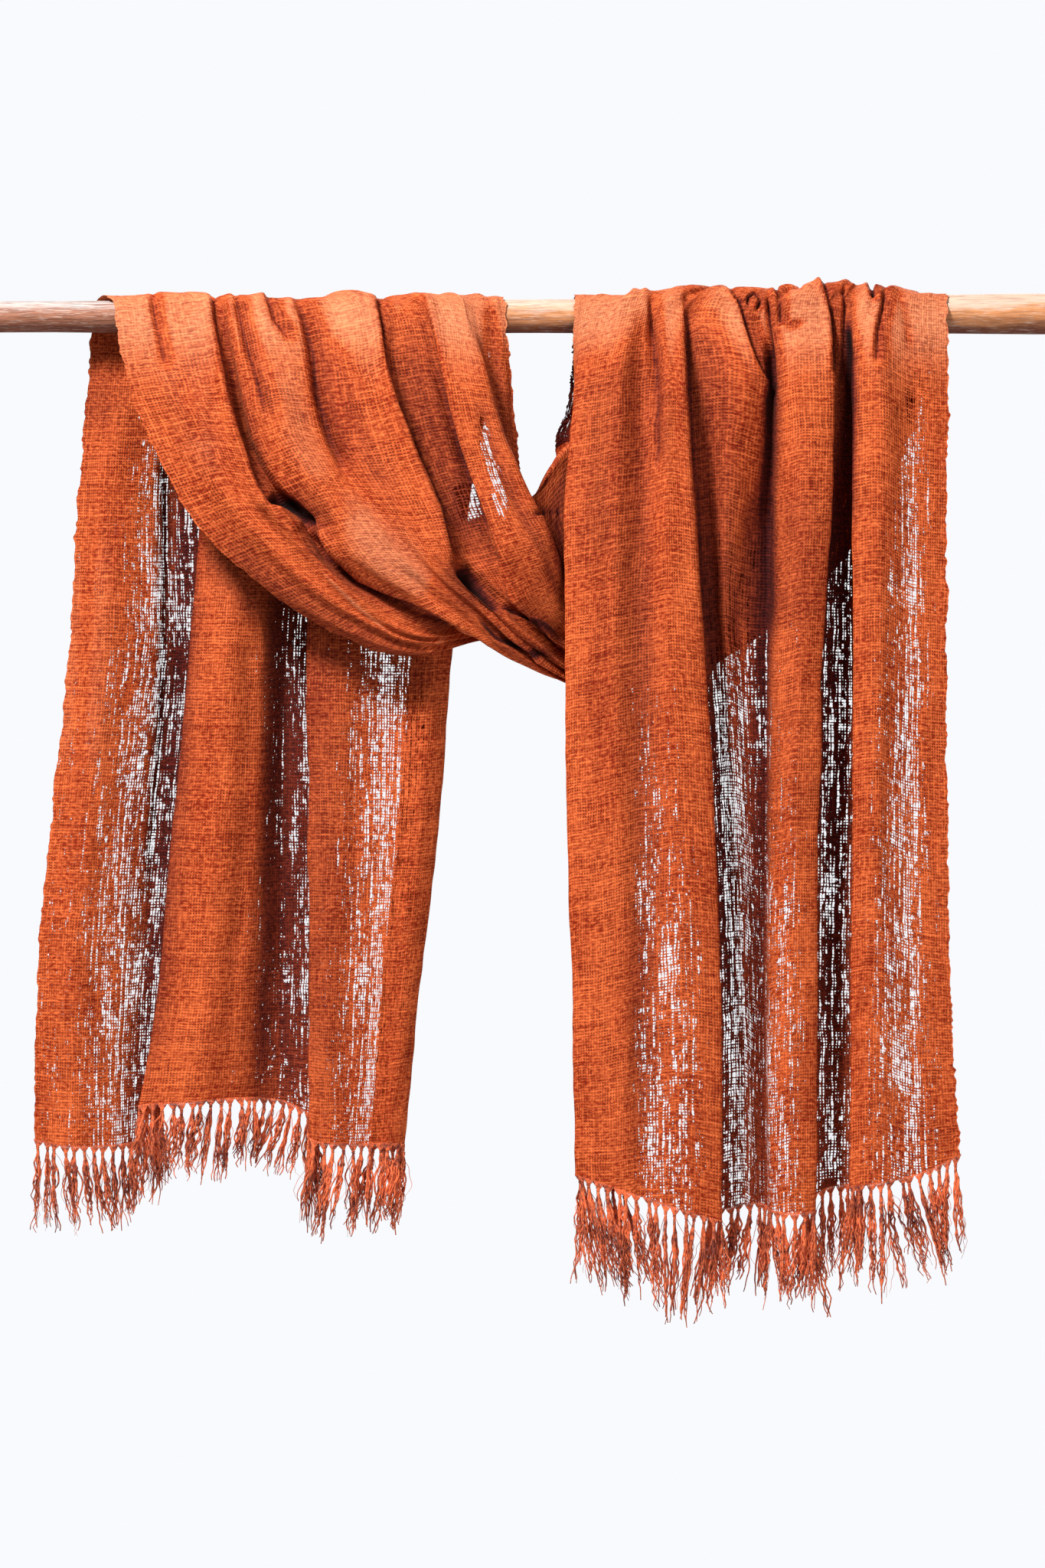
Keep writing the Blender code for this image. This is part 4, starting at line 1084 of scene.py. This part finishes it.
def fringe(name, hem, bundles, longest, seed, material):
    """Knotted bundles along the hem, and the loose wavy yarns that hang from each."""
    chance = np.random.default_rng(seed)
    along = lengths(hem)
    pitch = along[-1] / bundles
    tubes = Tubes(4)

    def at(s):
        return np.array([np.interp(s, along, hem[:, axis]) for axis in range(3)])

    drift = locks(chance, bundles)
    drop = locks(chance, bundles)
    for i in range(bundles):
        middle = (i + 0.5) * pitch + chance.normal(0, 0.0006)
        way = at(middle + 0.002) - at(middle - 0.002)
        way[2] = 0
        way /= np.linalg.norm(way)
        out = np.array((-way[1], way[0], 0))
        knot = at(middle) + DOWN * KNOT_DROP * chance.uniform(0.8, 1.5) + way * chance.normal(0, 0.0008)
        for k in np.linspace(-0.5, 0.5, LEGS):
            start = at(np.clip(middle + k * pitch, 0, along[-1])) - DOWN * LEG_ABOVE
            t = np.linspace(0, 1, 5)[:, None]
            tubes.add(start * (1 - t) + knot * t + DOWN * LEG_SAG * np.sin(math.pi * t), LEG_RADIUS)
        turn = (np.linspace(0, 2 * math.pi * WRAP_TURNS, 22) + chance.uniform(0, 6))[:, None]
        fall = np.linspace(*WRAP_ENDS, 22)[:, None] * DOWN
        wrap = knot + fall + WRAP_AROUND * (np.cos(turn) * way + np.sin(turn) * out)
        tubes.add(wrap, WRAP_RADIUS, patches_and_painted_light=False)
        reach = longest * np.clip(MEAN_REACH + REACH_DRIFT * drop[i], *REACH_ENDS)
        loose_end(tubes, knot, way, out, reach, LEAN_DRIFT * drift[i], chance)
    return new_object(name, np.concatenate(tubes.points), tubes.faces, material)


def loose_end(tubes, knot, way, out, reach, lean, chance):
    """The loose end below one knot: soft wavy yarns, and hairs that stray from them."""
    lean += chance.normal(0, 0.0030)
    loose = chance.uniform(0.5, 1.5)
    fall = chance.normal(0, 0.0025)
    t = np.linspace(0, 1, 17)
    # The yarns part just below the knot, then hang side by side and draw in towards their ends.
    parted = np.sin(0.8 * math.pi * t) ** 1.2
    for k in range(YARNS + HAIRS):
        is_hair = k >= YARNS
        length = reach * chance.uniform(0.62, 1.04)
        spread = chance.normal(0, 0.0070 if is_hair else 0.0020 * loose)
        deep = chance.normal(0, 0.0022)
        wave = chance.uniform(0.0004, 0.0013) * loose * np.minimum(t * 5, 1)
        beat = chance.uniform(3.2, 6.8) * 2 * math.pi * length / 0.07
        bow = chance.normal(0, 0.0022)
        start = chance.uniform(0, 6.28, 3)
        side = lean * t**1.3 + spread * parted + wave * np.sin(beat * t + start[0])
        side += bow * np.sin(2.2 * math.pi * t + start[2]) * t
        depth = fall * t**1.3 + deep * parted + wave * np.sin(beat * 0.9 * t + start[1])
        path = knot + side[:, None] * way + depth[:, None] * out
        path[:, 2] -= length * t * (1 - 10 * np.abs(spread))
        radius = HAIR_RADIUS if is_hair else YARN_RADIUS * chance.uniform(0.7, 1.2)
        tubes.add(path, radius * (1.05 - 0.55 * t**2))


def stick(material):
    """The rod as a peeled stick: slightly uneven, with two plain cut ends."""
    rings, sides = 240, 48
    across = np.linspace(ROD[0]["across"], ROD[-1]["across"], rings)
    radius, height = rod_at(across)
    x, a = np.meshgrid(across, np.linspace(0, 2 * math.pi, sides, endpoint=False), indexing="ij")
    bulge = 0.22 * value_noise(11, x, 12 + 6 * np.cos(a), (38, 3)) * np.cos(a - 1)
    bulge += 0.16 * value_noise(12, x, 40 + 9 * np.sin(a), (16, 3))
    around = radius[:, None] + bulge
    points = np.stack((x, around * np.sin(a), height[:, None] + around * np.cos(a)), -1) * MM
    index = np.arange(rings * sides).reshape(rings, sides)
    after = np.roll(index, -1, axis=1)
    faces = np.stack((index[:-1], index[1:], after[1:], after[:-1]), -1).reshape(-1, 4).tolist()
    faces += [index[0].tolist(), index[-1][::-1].tolist()]
    obj = new_object("stick", points, faces, material)
    for face in obj.data.polygons[-2:]:
        face.use_smooth = False
    return obj


def belongs(obj, node):
    """The piece rides on the part's one body, and stands for this node."""
    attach(obj, "root")
    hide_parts(node)


def sheet(name, node, stretch, first, last, table, material):
    """One stretch of the scarf and its points, from first to last along its rows, or to their end."""
    places, across = stretch
    knots = places_along(places)
    last = last or knots[-1]
    inside = knots[(knots > first + 1) & (knots < last - 1)]
    v = even(np.array((first, *inside, last)), GRID)
    u = even(across * CLOTH_WIDTH, GRID) / CLOTH_WIDTH
    points = surface(places, across, u, v)
    x, y = np.meshgrid(u * CLOTH_WIDTH, v, indexing="ij")
    weave_map = laid_flat(points, y)
    openness = open_on_grid(table, across, u, v) if isinstance(table, dict) else table / 100
    depth = recessed(points)
    gathers = gathered(x, y) if node in ("swag", "rise") else 0
    points, dark, opened = creased(points, x, y, CREASES[node], gathers)
    openness = np.maximum(openness, opened)
    # Painted shade on cloth that lies back in the folds, the stronger where it is open.
    shade = np.clip((depth - RECESS_FROM) / (RECESS_TO - RECESS_FROM), 0, 1) ** 1.5
    shade *= np.clip(0.3 + 1.4 * openness, 0, 1)
    dark = np.where(dark > 0, 1 - (1 - shade) * (1 - dark), shade + dark)
    obj = grid_mesh(name, points, x, y, weave_map, {"open": openness, "dark": dark}, material)
    belongs(obj, node)
    return obj, points


def light(name, place, target, size, power):
    data = bpy.data.lights.new(name, "AREA")
    data.shape = "DISK"
    data.size = size
    data.energy = power
    obj = bpy.data.objects.new(name, data)
    obj.location = place
    obj.rotation_euler = (Vector(target) - Vector(place)).to_track_quat("-Z", "Y").to_euler()
    bpy.context.scene.collection.objects.link(obj)


def surround():
    """A bright white surround that lights the scarf only softly."""
    world = bpy.data.worlds.new("surround")
    world.use_nodes = True
    tree = world.node_tree
    tree.nodes.clear()
    both = tree.nodes.new("ShaderNodeMixShader")
    path = tree.nodes.new("ShaderNodeLightPath")
    tree.links.new(path.outputs["Is Camera Ray"], both.inputs[0])
    lit, seen = ((1.0, 0.93, 0.90, 1), 0.19), ((0.945, 0.955, 0.985, 1), 1.0)
    for socket, (colour, strength) in zip(both.inputs[1:], (lit, seen)):
        background = tree.nodes.new("ShaderNodeBackground")
        background.inputs["Color"].default_value = colour
        background.inputs["Strength"].default_value = strength
        tree.links.new(background.outputs[0], socket)
    out = tree.nodes.new("ShaderNodeOutputWorld")
    tree.links.new(both.outputs[0], out.inputs[0])
    bpy.context.scene.world = world


def studio():
    """Camera, soft lights, the surround and a pale floor."""
    data = bpy.data.cameras.new("camera")
    data.sensor_width = SENSOR
    data.lens = SENSOR * CAMERA_DISTANCE / FRAME_HEIGHT
    camera = bpy.data.objects.new("camera", data)
    camera.location = (0, -CAMERA_DISTANCE, CAMERA_HEIGHT)
    camera.rotation_euler = (math.pi / 2, 0, 0)
    bpy.context.scene.collection.objects.link(camera)
    bpy.context.scene.camera = camera

    light("key", (-1.4, -1.7, 2.0), (0, 0, -0.35), 0.8, 152)
    light("back", (0.9, 2.4, 1.0), (0, 0, -0.3), 1.6, 34)
    light("fill", (1.6, -2.6, 0.0), (0, 0, -0.4), 2.0, 20)
    surround()
    bpy.context.scene.view_settings.view_transform = "Standard"

    bpy.ops.mesh.primitive_circle_add(vertices=96, radius=FLOOR_RADIUS, fill_type="NGON")
    floor = bpy.context.object
    floor.name = "floor"
    floor.location = (0, 0, FLOOR_HEIGHT)
    pale = Nodes("pale_floor")
    floor.data.materials.append(pale.surface({"Base Color": (0.86, 0.87, 0.89, 1), "Roughness": 0.8}))


def main():
    studio()
    cloth = weave()
    left, swag, right = cloth_places()
    knots = places_along(swag[0])
    hidden = SWAG_PLACES.index("behind") + CROWN_PLACES
    middle = (knots[hidden] + knots[hidden + 1]) / 2

    behind, points_behind = sheet("scarf_end_behind", "tail_behind", left, 0, None, LEFT_OPEN, cloth)
    swag_piece, _ = sheet("scarf_swag", "swag", swag, 0, middle, SWAG_OPEN, cloth)
    rise_piece, _ = sheet("scarf_rise", "rise", swag, middle, None, RISE_OPEN, cloth)
    front, points_front = sheet("scarf_end_front", "tail_front", right, 0, None, RIGHT_OPEN, cloth)

    yarn = yarn_fibre()
    for (name, row), points in zip(FRINGES.items(), (points_behind, points_front)):
        obj = fringe(name, points[:, -1], row["bundles"], row["longest"], row["seed"], yarn)
        belongs(obj, row["node"])

    rod = stick(bare_wood())
    belongs(rod, "rod")


main()
